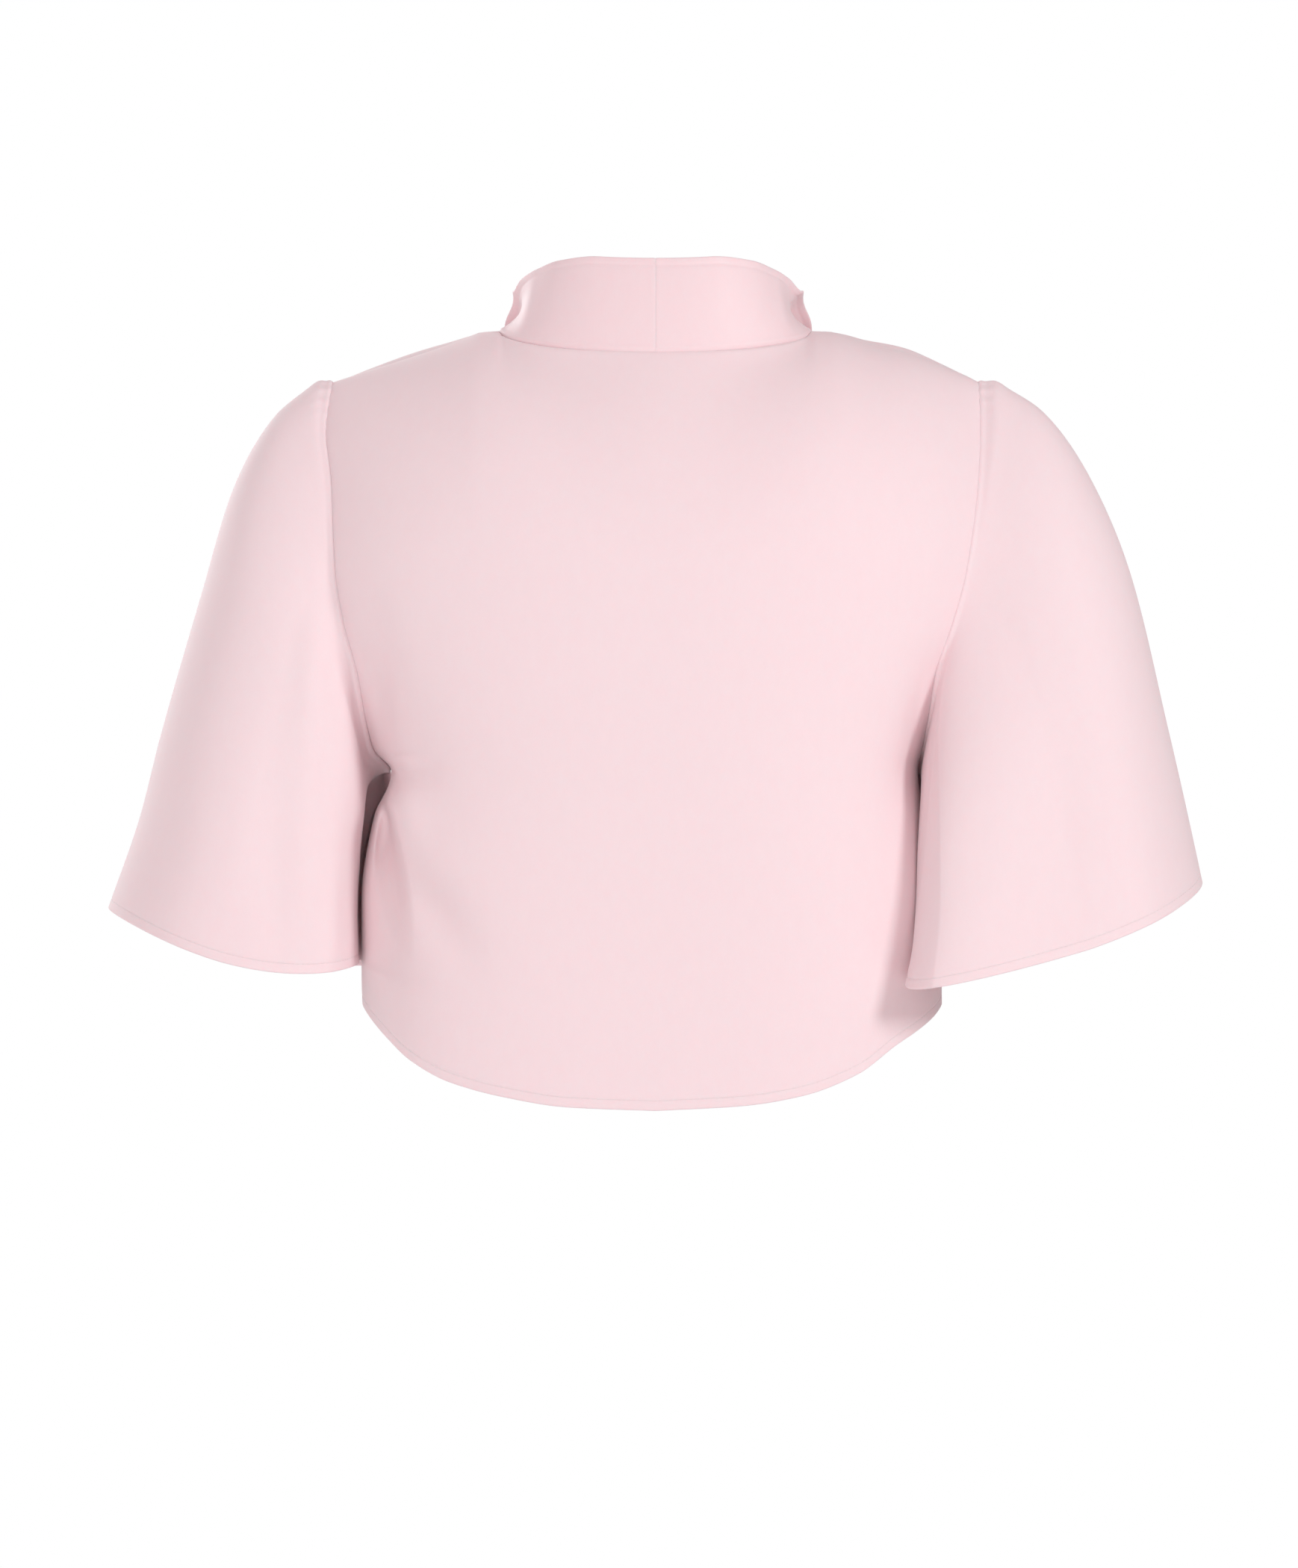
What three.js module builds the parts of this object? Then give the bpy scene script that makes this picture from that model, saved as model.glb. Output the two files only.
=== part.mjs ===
// A cropped open jacket in satin crepe, filled out as it is worn: one back panel,
// two front panels, two wide elbow-length sleeves and a standing shawl collar in
// two halves that meet in a seam at the centre of the back.
//
// Millimetres, +Z up. The wearer faces -Y and the wearer's left is +X. The origin
// is the middle of the neck opening, level with the points where the shoulder
// seams meet the collar.

import * as THREE from "three";

// Driving sizes
const clothWall = 1.6;
const collarWall = 2.4;
const seamGap = 0.3;
const collarSeamGap = 0.5;
const acrossShoulders = 387;
const neckWidth = 186;
const neckDepth = 60;
const neckDip = 17;
const underarmLevel = -262;
const sideHemLevel = -400;
const frontHemLevel = -385;
const shoulderTipLevel = -31;

const shoulderHalf = acrossShoulders / 2;
const neckHalf = neckWidth / 2;

// How the rounded shoulder rolls from the seam on its top down to the flat of the panel
const backRollHeight = 130;
const frontRollHeight = 110;
const shoulderRoll = 0.55;
const neckRoll = 0.95;

// How quickly the round of the neckline fades out of the back below it
const neckFade = 2;
const neckFadeLean = 8;

// Rounded crest of the front panels that stands a little above the shoulder seam
const crestHeight = 7;
const crestShare = 0.05;
const crestLean = 0.6;

const neckSteps = 6;
const shoulderSteps = 8;
const collarFootShare = 0.11;
const collarSteps = 8;

// Rows of points: by height on the side seam, and in equal turns up the armhole, which
// the panels and the sleeve share
const sideSeamLevels = [-400, -378, -352, -326, -302, -284, -271];
const armholeSteps = 24;
const armholeMiddle = (shoulderTipLevel + underarmLevel) / 2;
const armholeHalf = (shoulderTipLevel - underarmLevel) / 2;

// Shoulder line: height at a distance from the middle, on each side
const shoulderLine = [
  { x: 93, left: 0, right: 0 },
  { x: 104, left: -0.7, right: -0.4 },
  { x: 112, left: -3.8, right: -2.3 },
  { x: 126, left: -9, right: -7 },
  { x: 150, left: -17, right: -12.6 },
  { x: 171, left: -23.6, right: -20.6 },
  { x: 186, left: -28.5, right: -27 },
  { x: 193.5, left: -31, right: -31 },
];

// Hem of the back: it dips to the centre and turns up to the side seams
const backHem = [
  { x: 0, left: -458.3, right: -458.3 },
  { x: 50, left: -456.3, right: -455.6 },
  { x: 85, left: -450.9, right: -450 },
  { x: 118, left: -442.2, right: -437.7 },
  { x: 140, left: -430.5, right: -422 },
  { x: 154, left: -417.8, right: -413.3 },
  { x: 163, left: -408.3, right: -406.8 },
  { x: 170, left: -400, right: -400 },
];

// Hem of the fronts: just below the back's at the side seam, higher at the open edge
const frontHem = [
  { x: 44, left: -385, right: -385 },
  { x: 110, left: -404, right: -402 },
  { x: 145, left: -413, right: -407 },
  { x: 158, left: -413, right: -408 },
  { x: 166, left: -408, right: -405 },
  { x: 170, left: -400, right: -400 },
];

// Edge of the back: side seam up to the underarm, then the armhole. "depth" is how
// far behind the shoulder seam the edge lies before the shoulder rolls it forward.
const backEdge = [
  { z: -470, left: 173, right: 170, depth: 0 },
  { z: -400, left: 173, right: 170, depth: 0 },
  { z: -340, left: 166, right: 165, depth: 0 },
  { z: -300, left: 160, right: 160, depth: 0 },
  { z: -262, left: 157, right: 156, depth: 0 },
  { z: -250, left: 166.5, right: 158, depth: 20 },
  { z: -232, left: 171, right: 161, depth: 36 },
  { z: -205, left: 175.5, right: 165, depth: 50 },
  { z: -175, left: 183.5, right: 175, depth: 56 },
  { z: -145, left: 188.5, right: 183, depth: 56 },
  { z: -90, left: 192, right: 191, depth: 49 },
  { z: -60, left: 196, right: 193, depth: 41 },
  { z: -31, left: 193.5, right: 193.5, depth: 34 },
];

// Edge of the fronts, the same way: the front armhole is scooped further in
const frontEdge = [
  { z: -470, left: 173, right: 170, depth: 0 },
  { z: -400, left: 173, right: 170, depth: 0 },
  { z: -340, left: 166, right: 165, depth: 0 },
  { z: -300, left: 160, right: 160, depth: 0 },
  { z: -262, left: 157, right: 156, depth: 0 },
  { z: -250, left: 162, right: 156.5, depth: 18 },
  { z: -232, left: 165.5, right: 159, depth: 33 },
  { z: -200, left: 171, right: 165, depth: 47 },
  { z: -150, left: 177, right: 175, depth: 50 },
  { z: -90, left: 185, right: 184, depth: 46 },
  { z: -60, left: 190, right: 189, depth: 38 },
  { z: -31, left: 193.5, right: 193.5, depth: 30 },
];

// Depth of the body at its middle, behind and before the shoulder seam, and the power
// of its rounded section, which is squarer below the arms
const bodyDepth = [
  { z: -470, back: 105, front: 106, power: 2.8 },
  { z: -400, back: 105, front: 107, power: 2.8 },
  { z: -330, back: 106, front: 110, power: 2.8 },
  { z: -262, back: 108, front: 116, power: 2.7 },
  { z: -200, back: 110, front: 121, power: 2.6 },
  { z: -150, back: 110, front: 114, power: 2.5 },
  { z: -90, back: 107, front: 98, power: 2.4 },
  { z: 0, back: 103, front: 80, power: 2.4 },
];

// Open front edge: distance from the middle at a height
const openEdge = [
  { z: -400, x: 45 },
  { z: -320, x: 40 },
  { z: -250, x: 43 },
  { z: -180, x: 54 },
  { z: -120, x: 66 },
  { z: -80, x: 76 },
  { z: -40, x: 86 },
  { z: -15, x: 91 },
  { z: 0, x: 93 },
];

// Sleeve lines from the armhole, 0, to the hem, 1: the outer line, the line under the
// arm, how deep the sleeve is behind and before them, how far its rings dip between
// them, and how far its inner cloth is tucked behind the body and wraps round its front
const sleeveLines = {
  left: [
    { at: 0, outX: 193.5, outZ: -31, inX: 157, inZ: -262, back: 56, front: 50, dip: 0, tuck: 0, wrap: 0 },
    { at: 0.025, outX: 200, outZ: -29.6, inX: 162, inZ: -264, back: 57, front: 51, dip: 0, tuck: 1, wrap: 3 },
    { at: 0.055, outX: 210, outZ: -36, inX: 167, inZ: -267, back: 59, front: 52, dip: 0, tuck: 3, wrap: 10 },
    { at: 0.12, outX: 228, outZ: -52, inX: 172, inZ: -273, back: 62, front: 55, dip: 1, tuck: 7, wrap: 18 },
    { at: 0.25, outX: 250.5, outZ: -92, inX: 174.5, inZ: -289, back: 67, front: 60, dip: 2, tuck: 8, wrap: 24 },
    { at: 0.44, outX: 270, outZ: -156, inX: 176, inZ: -314, back: 73, front: 66, dip: 5, tuck: 6, wrap: 27 },
    { at: 0.7, outX: 295, outZ: -243, inX: 176.5, inZ: -345, back: 80, front: 73, dip: 9, tuck: 5, wrap: 28 },
    { at: 0.84, outX: 307, outZ: -290, inX: 176, inZ: -360, back: 83, front: 76, dip: 11, tuck: 5, wrap: 28 },
    { at: 1, outX: 325.5, outZ: -343, inX: 175, inZ: -375, back: 86, front: 79, dip: 14.5, tuck: 5, wrap: 27 },
  ],
  right: [
    { at: 0, outX: 193.5, outZ: -31, inX: 156, inZ: -262, back: 56, front: 50, dip: 0, tuck: 0, wrap: 0 },
    { at: 0.025, outX: 202, outZ: -29.6, inX: 157, inZ: -264, back: 57, front: 51, dip: 0, tuck: 1, wrap: 0 },
    { at: 0.055, outX: 212, outZ: -35, inX: 158, inZ: -267, back: 58, front: 52, dip: 0, tuck: 4, wrap: 3 },
    { at: 0.12, outX: 231, outZ: -48, inX: 161, inZ: -274, back: 61, front: 55, dip: 1, tuck: 10, wrap: 9 },
    { at: 0.25, outX: 257, outZ: -84, inX: 166, inZ: -292, back: 68, front: 60, dip: 2, tuck: 19, wrap: 20 },
    { at: 0.44, outX: 282, outZ: -142, inX: 170, inZ: -318, back: 77, front: 66, dip: 4.5, tuck: 28, wrap: 26 },
    { at: 0.7, outX: 305, outZ: -236, inX: 174, inZ: -348, back: 87, front: 72, dip: 7.5, tuck: 36, wrap: 28 },
    { at: 0.84, outX: 314, outZ: -275, inX: 175, inZ: -362, back: 91, front: 75, dip: 9.5, tuck: 40, wrap: 27 },
    { at: 1, outX: 325.5, outZ: -327.5, inX: 176, inZ: -376, back: 95, front: 78, dip: 13.5, tuck: 47, wrap: 26 },
  ],
};

// How the rings are shaped: the power of their dip, how much it leans to the inside on
// the outer and the inner half, and how square the inner corners are
const ringShapes = {
  left: { power: 2, outer: 0.35, inner: 0.35, corner: 0.66 },
  right: { power: 1.3, outer: 0, inner: 1.7, corner: 0.62 },
};
const cornerGrowth = 0.1;
const tuckLift = 0.3;

// Largest folds of the sleeves. Each runs along the sleeve, 0 at the armhole and 1 at the
// hem, at a turn that drifts: 0.25 is the middle of the back, 0.5 under the arm and 0.75
// the middle of the front. Its width is in turns, its height in millimetres.
const sleeveFolds = {
  left: [
    { fromTurn: 0.27, toTurn: 0.295, from: 0, to: 0.5, width: 0.022, height: 2.4 },
    { fromTurn: 0.36, toTurn: 0.385, from: 0.25, to: 1.5, width: 0.026, height: 2.6 },
    { fromTurn: 0.29, toTurn: 0.33, from: 0.35, to: 1.35, width: 0.034, height: -3.4 },
    { fromTurn: 0.19, toTurn: 0.2, from: 0.4, to: 1.6, width: 0.045, height: 2.2 },
    { fromTurn: 0.6, toTurn: 0.63, from: 0.2, to: 1.5, width: 0.032, height: 3 },
    { fromTurn: 0.68, toTurn: 0.71, from: 0.3, to: 1.5, width: 0.034, height: -3.6 },
    { fromTurn: 0.79, toTurn: 0.81, from: 0.35, to: 1.5, width: 0.04, height: 2.8 },
  ],
  right: [
    { fromTurn: 0.285, toTurn: 0.35, from: 0.05, to: 1.4, width: 0.02, height: 3 },
    { fromTurn: 0.335, toTurn: 0.405, from: 0.2, to: 1.4, width: 0.024, height: -3 },
    { fromTurn: 0.24, toTurn: 0.27, from: 0.35, to: 1.25, width: 0.03, height: -2.6 },
    { fromTurn: 0.17, toTurn: 0.18, from: 0.35, to: 1.6, width: 0.045, height: 2 },
    { fromTurn: 0.61, toTurn: 0.65, from: 0.25, to: 1.5, width: 0.034, height: 3.2 },
    { fromTurn: 0.7, toTurn: 0.73, from: 0.35, to: 1.5, width: 0.034, height: -3.2 },
    { fromTurn: 0.81, toTurn: 0.82, from: 0.3, to: 1.5, width: 0.042, height: 2.6 },
  ],
};

// Largest folds of the panels, each between two places, left side positive, with its
// half width across and its height
const backFolds = [
  { fromX: 156, fromZ: -258, toX: 149, toZ: -352, width: 7, height: 2.8 },
  { fromX: 166, fromZ: -262, toX: 162, toZ: -350, width: 6, height: -2.6 },
  { fromX: 171, fromZ: -140, toX: 155, toZ: -262, width: 9, height: -3 },
  { fromX: -160, fromZ: -190, toX: -147, toZ: -290, width: 9, height: -2.2 },
  { fromX: -150, fromZ: -275, toX: -146, toZ: -390, width: 10, height: 2 },
];
const frontFolds = {
  left: [
    { fromX: 156, fromZ: -262, toX: 116, toZ: -372, width: 11, height: 2.6 },
    { fromX: 165, fromZ: -100, toX: 138, toZ: -215, width: 11, height: -2.6 },
    { fromX: 132, fromZ: -210, toX: 140, toZ: -440, width: 12, height: -2.2 },
  ],
  right: [
    { fromX: 152, fromZ: -258, toX: 120, toZ: -350, width: 12, height: 2.4 },
    { fromX: 163, fromZ: -110, toX: 142, toZ: -205, width: 10, height: -2.4 },
    { fromX: 124, fromZ: -225, toX: 130, toZ: -440, width: 11, height: 2 },
  ],
};
const seamQuiet = 0.045;

const sleeveRings = [
  0, 0.025, 0.055, 0.1, 0.16, 0.23, 0.31, 0.39, 0.48, 0.57, 0.66, 0.75, 0.84, 0.92, 1,
];
const armholeFade = 0.3;
const sleeveClearance = 3.5;
const clearanceGrowth = 0.2;
const underarmOverlap = 4;

// Collar sections, from the centre back, 0, past the side of the neck, 1, to the front
// hem, 2. Each gives the pull of its middle and the place of its free edge, both from
// the seam: "out" away from the middle of the body, "away" to the back, "up".
const collarSections = [
  { at: 0, midOut: 0, midAway: -1, midUp: 27, edgeOut: 0, edgeAway: -9, edgeUp: 55 },
  { at: 0.25, midOut: -1, midAway: -1, midUp: 27, edgeOut: -2, edgeAway: -9, edgeUp: 55 },
  { at: 0.45, midOut: -2, midAway: -3, midUp: 26, edgeOut: -4, edgeAway: -11, edgeUp: 51 },
  { at: 0.62, midOut: -4, midAway: -6, midUp: 22, edgeOut: -7, edgeAway: -14, edgeUp: 44 },
  { at: 0.8, midOut: -14, midAway: -7, midUp: 17, edgeOut: -9, edgeAway: -13, edgeUp: 35 },
  { at: 1, midOut: -22, midAway: -8, midUp: 14, edgeOut: -8, edgeAway: -12, edgeUp: 23 },
  { at: 1.06, midOut: -18, midAway: -4, midUp: 16, edgeOut: 1, edgeAway: 2, edgeUp: 27 },
  { at: 1.14, midOut: -12, midAway: -8, midUp: 16, edgeOut: 8, edgeAway: 2, edgeUp: 24 },
  { at: 1.25, midOut: -14, midAway: -14, midUp: 6, edgeOut: 32, edgeAway: -4, edgeUp: 20 },
  { at: 1.38, midOut: -14, midAway: -16, midUp: 2, edgeOut: 46, edgeAway: -6, edgeUp: 12 },
  { at: 1.6, midOut: -12, midAway: -16, midUp: 0, edgeOut: 52, edgeAway: -6, edgeUp: 4 },
  { at: 2, midOut: -10, midAway: -14, midUp: 0, edgeOut: 40, edgeAway: -6, edgeUp: 2 },
];
const lapelClearance = 3;

// On the right the collar's edge is folded further out at the side of the neck
const collarSpread = { left: 0, right: 3.5 };
const spreadAt = 1.03;
const spreadWidth = 0.13;

const collarTurn = 0.1;

// Monotone cubic reading of a table: smooth through its rows, with no overshoot
function read(table, key, column, at) {
  const last = table.length - 1;
  if (at <= table[0][key]) return table[0][column];
  if (at >= table[last][key]) return table[last][column];
  const rise = (i) => (table[i + 1][column] - table[i][column]) / (table[i + 1][key] - table[i][key]);
  const slope = (i) => {
    if (i === 0) return rise(0);
    if (i === last) return rise(last - 1);
    const before = rise(i - 1);
    const after = rise(i);
    return before * after <= 0 ? 0 : (2 * before * after) / (before + after);
  };
  let row = 0;
  while (at > table[row + 1][key]) row += 1;
  const span = table[row + 1][key] - table[row][key];
  const t = (at - table[row][key]) / span;
  const t2 = t * t;
  const t3 = t2 * t;
  return (
    (2 * t3 - 3 * t2 + 1) * table[row][column] +
    (t3 - 2 * t2 + t) * span * slope(row) +
    (3 * t2 - 2 * t3) * table[row + 1][column] +
    (t3 - t2) * span * slope(row + 1)
  );
}

const mix = (a, b, t) => a + (b - a) * t;
const clamp01 = (t) => Math.min(1, Math.max(0, t));
const bell = (distance, width) => Math.exp(-((distance / width) ** 2));
const swell = (t) => Math.sqrt(Math.max(0, Math.sin(Math.PI * t)));
const sideName = (side) => (side > 0 ? "left" : "right");

// The neckline at a quarter turn from the centre back, 0, to the side of the neck, 1
function neckline(side, quarter) {
  const angle = (quarter * Math.PI) / 2;
  const back = Math.cos(angle);
  return new THREE.Vector3(side * neckHalf * Math.sin(angle), neckDepth * back, -neckDip * back);
}

// Height of the top of the body over a point: the shoulder line, or the neckline between
function topLevel(x, face) {
  const across = Math.abs(x);
  if (across >= neckHalf) return read(shoulderLine, "x", sideName(x), across);
  return face === "back" ? -neckDip * Math.sqrt(1 - (across / neckHalf) ** 2) : 0;
}

// Half width of the body at a height, to the side seam or the armhole
function halfWidth(z, side, face) {
  return read(face === "back" ? backEdge : frontEdge, "z", sideName(side), z);
}

// How far the cloth of the back or the front lies behind or before the shoulder seam
function bodyReach(x, z, face) {
  const edges = face === "back" ? backEdge : frontEdge;
  const across = Math.abs(x);
  const middle = read(bodyDepth, "z", face, z);
  const power = read(bodyDepth, "z", "power", z);
  const edge = read(edges, "z", "depth", z) / middle;
  const width = halfWidth(z, x, face) / (1 - edge ** power) ** (1 / power);
  const flat = middle * (1 - clamp01(across / width) ** power) ** (1 / power);
  const rollHeight = face === "back" ? backRollHeight : frontRollHeight;
  const climb = clamp01((z - topLevel(x, face) + rollHeight) / rollHeight);
  if (face === "front") return flat * (1 - climb * climb) ** shoulderRoll;
  const nearNeck = clamp01(across / neckHalf);
  const inside = 1 - nearNeck ** 2;
  const nearTop = climb ** neckFadeLean;
  const dip = neckDip * (Math.sqrt(inside) - inside ** neckFade) * (1 - nearTop);
  const smoothClimb = clamp01(climb - (across < neckHalf ? dip / rollHeight : 0));
  const rollPower = mix(neckRoll, shoulderRoll, nearNeck ** 2 * (3 - 2 * nearNeck));
  const roll = (1 - smoothClimb * smoothClimb) ** rollPower;
  const top = neckDepth * inside ** mix(neckFade, 0.5, nearTop);
  return top + (flat - top) * roll;
}

const levelShare = (level) => (level - sideHemLevel) / (shoulderTipLevel - sideHemLevel);

// Height of a panel's folds at a place, fading at both ends of each
function panelFolds(folds, x, z) {
  let height = 0;
  for (const fold of folds) {
    const runX = fold.toX - fold.fromX;
    const runZ = fold.toZ - fold.fromZ;
    const length = Math.hypot(runX, runZ);
    const t = clamp01(((x - fold.fromX) * runX + (z - fold.fromZ) * runZ) / length ** 2);
    const away = Math.hypot(x - fold.fromX - t * runX, z - fold.fromZ - t * runZ);
    height += fold.height * swell(t) * bell(away, fold.width);
  }
  return height;
}

// A point of the back: "share" runs from the left side, 1, to the right side, -1
function backPoint(share, climb) {
  const side = share < 0 ? -1 : 1;
  const sideLevel = mix(sideHemLevel, shoulderTipLevel, climb);
  const hem = read(backHem, "x", sideName(side), Math.abs(share) * backHem[backHem.length - 1].x);
  const top = topLevel(share * shoulderHalf, "back");
  const x = share * halfWidth(sideLevel, side, "back");
  const z = mix(hem, top, climb);
  return new THREE.Vector3(x, bodyReach(x, z, "back") + seamGap / 2, z);
}

// Where a front panel is open, and where the collar is sewn to it
function openEdgePoint(side, climb) {
  const z = mix(frontHemLevel, 0, climb);
  const x = side * read(openEdge, "z", "x", z);
  return new THREE.Vector3(x, -bodyReach(x, z, "front") - seamGap / 2, z);
}

// A point of a front: "share" runs from its open edge, 0, to its side, 1
function frontPoint(side, share, climb) {
  const open = openEdgePoint(side, climb);
  const sideLevel = mix(sideHemLevel, shoulderTipLevel, climb);
  const sideX = halfWidth(sideLevel, side, "front");
  const x = side * mix(Math.abs(open.x), sideX, share);
  const hemX = mix(frontHem[0].x, frontHem[frontHem.length - 1].x, share);
  const hem = read(frontHem, "x", sideName(side), hemX);
  const top = topLevel(side * mix(neckHalf, shoulderHalf, share), "front");
  const nearTop = clamp01((1 - climb) / crestShare);
  const crest = crestHeight * Math.sin(Math.PI * nearTop ** crestLean) * Math.sin(Math.PI * share);
  const z = mix(hem, top, climb);
  return new THREE.Vector3(x, -bodyReach(x, z, "front") - seamGap / 2, z + crest);
}

// The armhole as a closed loop: 0 at the shoulder tip, back first, 0.5 under the arm
function armholePoint(side, turn) {
  const z = armholeMiddle + armholeHalf * Math.cos(2 * Math.PI * turn);
  const face = turn <= 0.5 ? "back" : "front";
  const x = side * halfWidth(z, side, face);
  const reach = bodyReach(x, z, face) + seamGap / 2;
  return new THREE.Vector3(x, face === "back" ? reach : -reach, z);
}

// Moves a point out of the body, away from its middle, until it is clear
function clearOfBody(point, clearance) {
  const side = point.x < 0 ? -1 : 1;
  const face = point.y >= 0 ? "back" : "front";
  const width = halfWidth(point.z, side, "back") + clearance;
  const depth = read(bodyDepth, "z", face, point.z) + clearance;
  const power = read(bodyDepth, "z", "power", point.z);
  const inside = (Math.abs(point.x) / width) ** power + (Math.abs(point.y) / depth) ** power;
  if (inside >= 1 || point.z > underarmLevel) return point;
  const grow = inside ** (-1 / power);
  return new THREE.Vector3(point.x * grow, point.y * grow, point.z);
}

function sleeveRing(side, turn, along) {
  const line = (column) => read(sleeveLines[sideName(side)], "at", column, along);
  const out = Math.cos(2 * Math.PI * turn);
  const back = Math.sin(2 * Math.PI * turn);
  const tuck = line(back > 0 ? "tuck" : "wrap") * 2 * Math.abs(back) * Math.max(0, -out);
  const shape = ringShapes[sideName(side)];
  const lean = 1 - (out > 0 ? shape.outer : shape.inner) * out;
  const dip = line("dip") * Math.abs(back) ** shape.power * lean;
  const x = mix(line("inX"), line("outX"), (1 + out) / 2) - tuck;
  const z = mix(line("inZ"), line("outZ"), (1 + out) / 2) - dip;
  const square = out < 0 ? mix(1, shape.corner, clamp01(along / cornerGrowth)) : 1;
  const reach = Math.abs(back) ** square * line(back > 0 ? "back" : "front") + tuckLift * tuck;
  return new THREE.Vector3(side * x, back > 0 ? reach : -reach, z);
}

// A point of a sleeve: it starts on the armhole and settles into its own rings
function sleevePoint(side, turn, along) {
  const wrapped = turn - Math.floor(turn);
  const ring = sleeveRing(side, wrapped, along);
  const start = armholePoint(side, wrapped);
  const under = ((1 - Math.cos(2 * Math.PI * wrapped)) / 2) ** underarmOverlap;
  start.x += side * mix(seamGap, clothWall + seamGap, under);
  const fade = clamp01(1 - along / armholeFade) ** 2;
  const pull = start.sub(sleeveRing(side, wrapped, 0)).multiplyScalar(fade);
  const clearance = clothWall + seamGap + sleeveClearance * clamp01(along / clearanceGrowth);
  return clearOfBody(ring.add(pull), clearance);
}

// Height of a sleeve's folds, none at the armhole seam
function foldsOfSleeve(side, turn, along) {
  let height = 0;
  for (const fold of sleeveFolds[sideName(side)]) {
    const t = clamp01((along - fold.from) / (fold.to - fold.from));
    const away = turn - mix(fold.fromTurn, fold.toTurn, t);
    height += fold.height * swell(t) * bell(away, fold.width);
  }
  return height * clamp01(along / seamQuiet);
}

// The seam that holds the collar: back neckline, then the open edge of the front
function collarSeam(side, at) {
  const seam = at <= 1 ? neckline(side, at) : openEdgePoint(side, 2 - at);
  if (at <= 0) seam.x = (side * seamGap) / 2;
  const onFront = clamp01((at - 1) / collarTurn);
  seam.z += collarSeamGap * (1 - onFront);
  seam.y -= collarSeamGap * onFront;
  return seam;
}

// A point of the collar: "rise" runs from its seam, 0, to its free edge, 1
function collarPoint(side, at, rise) {
  const seam = collarSeam(side, at);
  const part = (column) => read(collarSections, "at", column, at);
  const mid = 2 * rise * (1 - rise);
  const edge = rise * rise;
  const spread = collarSpread[sideName(side)] * bell(at - spreadAt, spreadWidth);
  const point = new THREE.Vector3(
    seam.x + side * (mid * part("midOut") + edge * (part("edgeOut") + spread)),
    seam.y + mid * part("midAway") + edge * part("edgeAway"),
    seam.z + mid * part("midUp") + edge * part("edgeUp"),
  );
  const top = topLevel(point.x, "front");
  if (at > 1 && rise > 0 && point.z < top) {
    const lift = seamGap + lapelClearance * clamp01(3 * rise);
    const panel = -bodyReach(point.x, point.z, "front") - lift;
    point.y = Math.min(point.y, panel);
  }
  return point;
}

// Direction in which the cloth faces at a point of a panel
function facing(place, u, v, edges, flip) {
  const step = 0.004;
  const before = edges.round ? u - step : Math.max(edges.lowU, u - step);
  const after = edges.round ? u + step : Math.min(edges.highU, u + step);
  const across = place(after, v).sub(place(before, v));
  const low = Math.max(edges.lowV, v - step);
  const high = Math.min(edges.highV, v + step);
  const along = place(u, high).sub(place(u, low));
  return across.cross(along).normalize().multiplyScalar(flip ? -1 : 1);
}

// A closed cloth wall through a grid of points: outer skin, inner skin and the rims.
// "relief" raises the folds and "settle" turns the wall's direction at a seam.
function clothSolid(place, us, vs, wall, { round = false, flip = false, settle, relief }) {
  const columns = us.length;
  const rows = vs.length;
  const edges = { round, lowU: us[0], highU: us[columns - 1], lowV: vs[0], highV: vs[rows - 1] };
  const outer = [];
  const inner = [];
  for (const v of vs) {
    for (const u of us) {
      const point = place(u, v);
      const out = facing(place, u, v, edges, flip);
      if (settle) settle(out, u, v);
      if (relief) point.addScaledVector(out, relief(point, u, v));
      outer.push(point.x, point.y, point.z);
      const back = point.clone().addScaledVector(out, -wall);
      inner.push(back.x, back.y, back.z);
    }
  }
  const count = columns * rows;
  const index = [];
  const quad = (a, b, c, d) => {
    if (flip) index.push(a, c, b, a, d, c);
    else index.push(a, b, c, a, c, d);
  };
  const at = (row, column) => row * columns + (column % columns);
  const spans = round ? columns : columns - 1;
  for (let row = 0; row + 1 < rows; row += 1) {
    for (let column = 0; column < spans; column += 1) {
      const a = at(row, column);
      const b = at(row, column + 1);
      const c = at(row + 1, column + 1);
      const d = at(row + 1, column);
      quad(a, b, c, d);
      quad(a + count, d + count, c + count, b + count);
    }
  }
  const rim = (a, b) => quad(b, a, a + count, b + count);
  for (let column = 0; column < spans; column += 1) {
    rim(at(0, column), at(0, column + 1));
    rim(at(rows - 1, column + 1), at(rows - 1, column));
  }
  for (let row = 0; row + 1 < rows && !round; row += 1) {
    rim(at(row + 1, 0), at(row, 0));
    rim(at(row, columns - 1), at(row + 1, columns - 1));
  }
  const solid = new THREE.BufferGeometry();
  solid.setAttribute("position", new THREE.Float32BufferAttribute([...outer, ...inner], 3));
  solid.setIndex(index);
  solid.computeVertexNormals();
  return solid;
}

function piece(name, geometry, colour) {
  const material = new THREE.MeshStandardMaterial({ color: colour, roughness: 0.55, metalness: 0 });
  const mesh = new THREE.Mesh(geometry, material);
  mesh.name = name;
  return mesh;
}

const climbs = sideSeamLevels.map(levelShare);
for (let step = armholeSteps; step >= 0; step -= 1) {
  climbs.push(levelShare(armholeMiddle + armholeHalf * Math.cos((Math.PI * step) / armholeSteps)));
}
const shoulderShare = neckHalf / shoulderHalf;

// Shares along the shoulder seam, from the collar out, that the back and the fronts share
const shoulderShares = [collarFootShare];
for (let step = 1; step <= shoulderSteps; step += 1) {
  shoulderShares.push(Math.sin((Math.PI / 2) * (step / shoulderSteps)));
}

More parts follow.
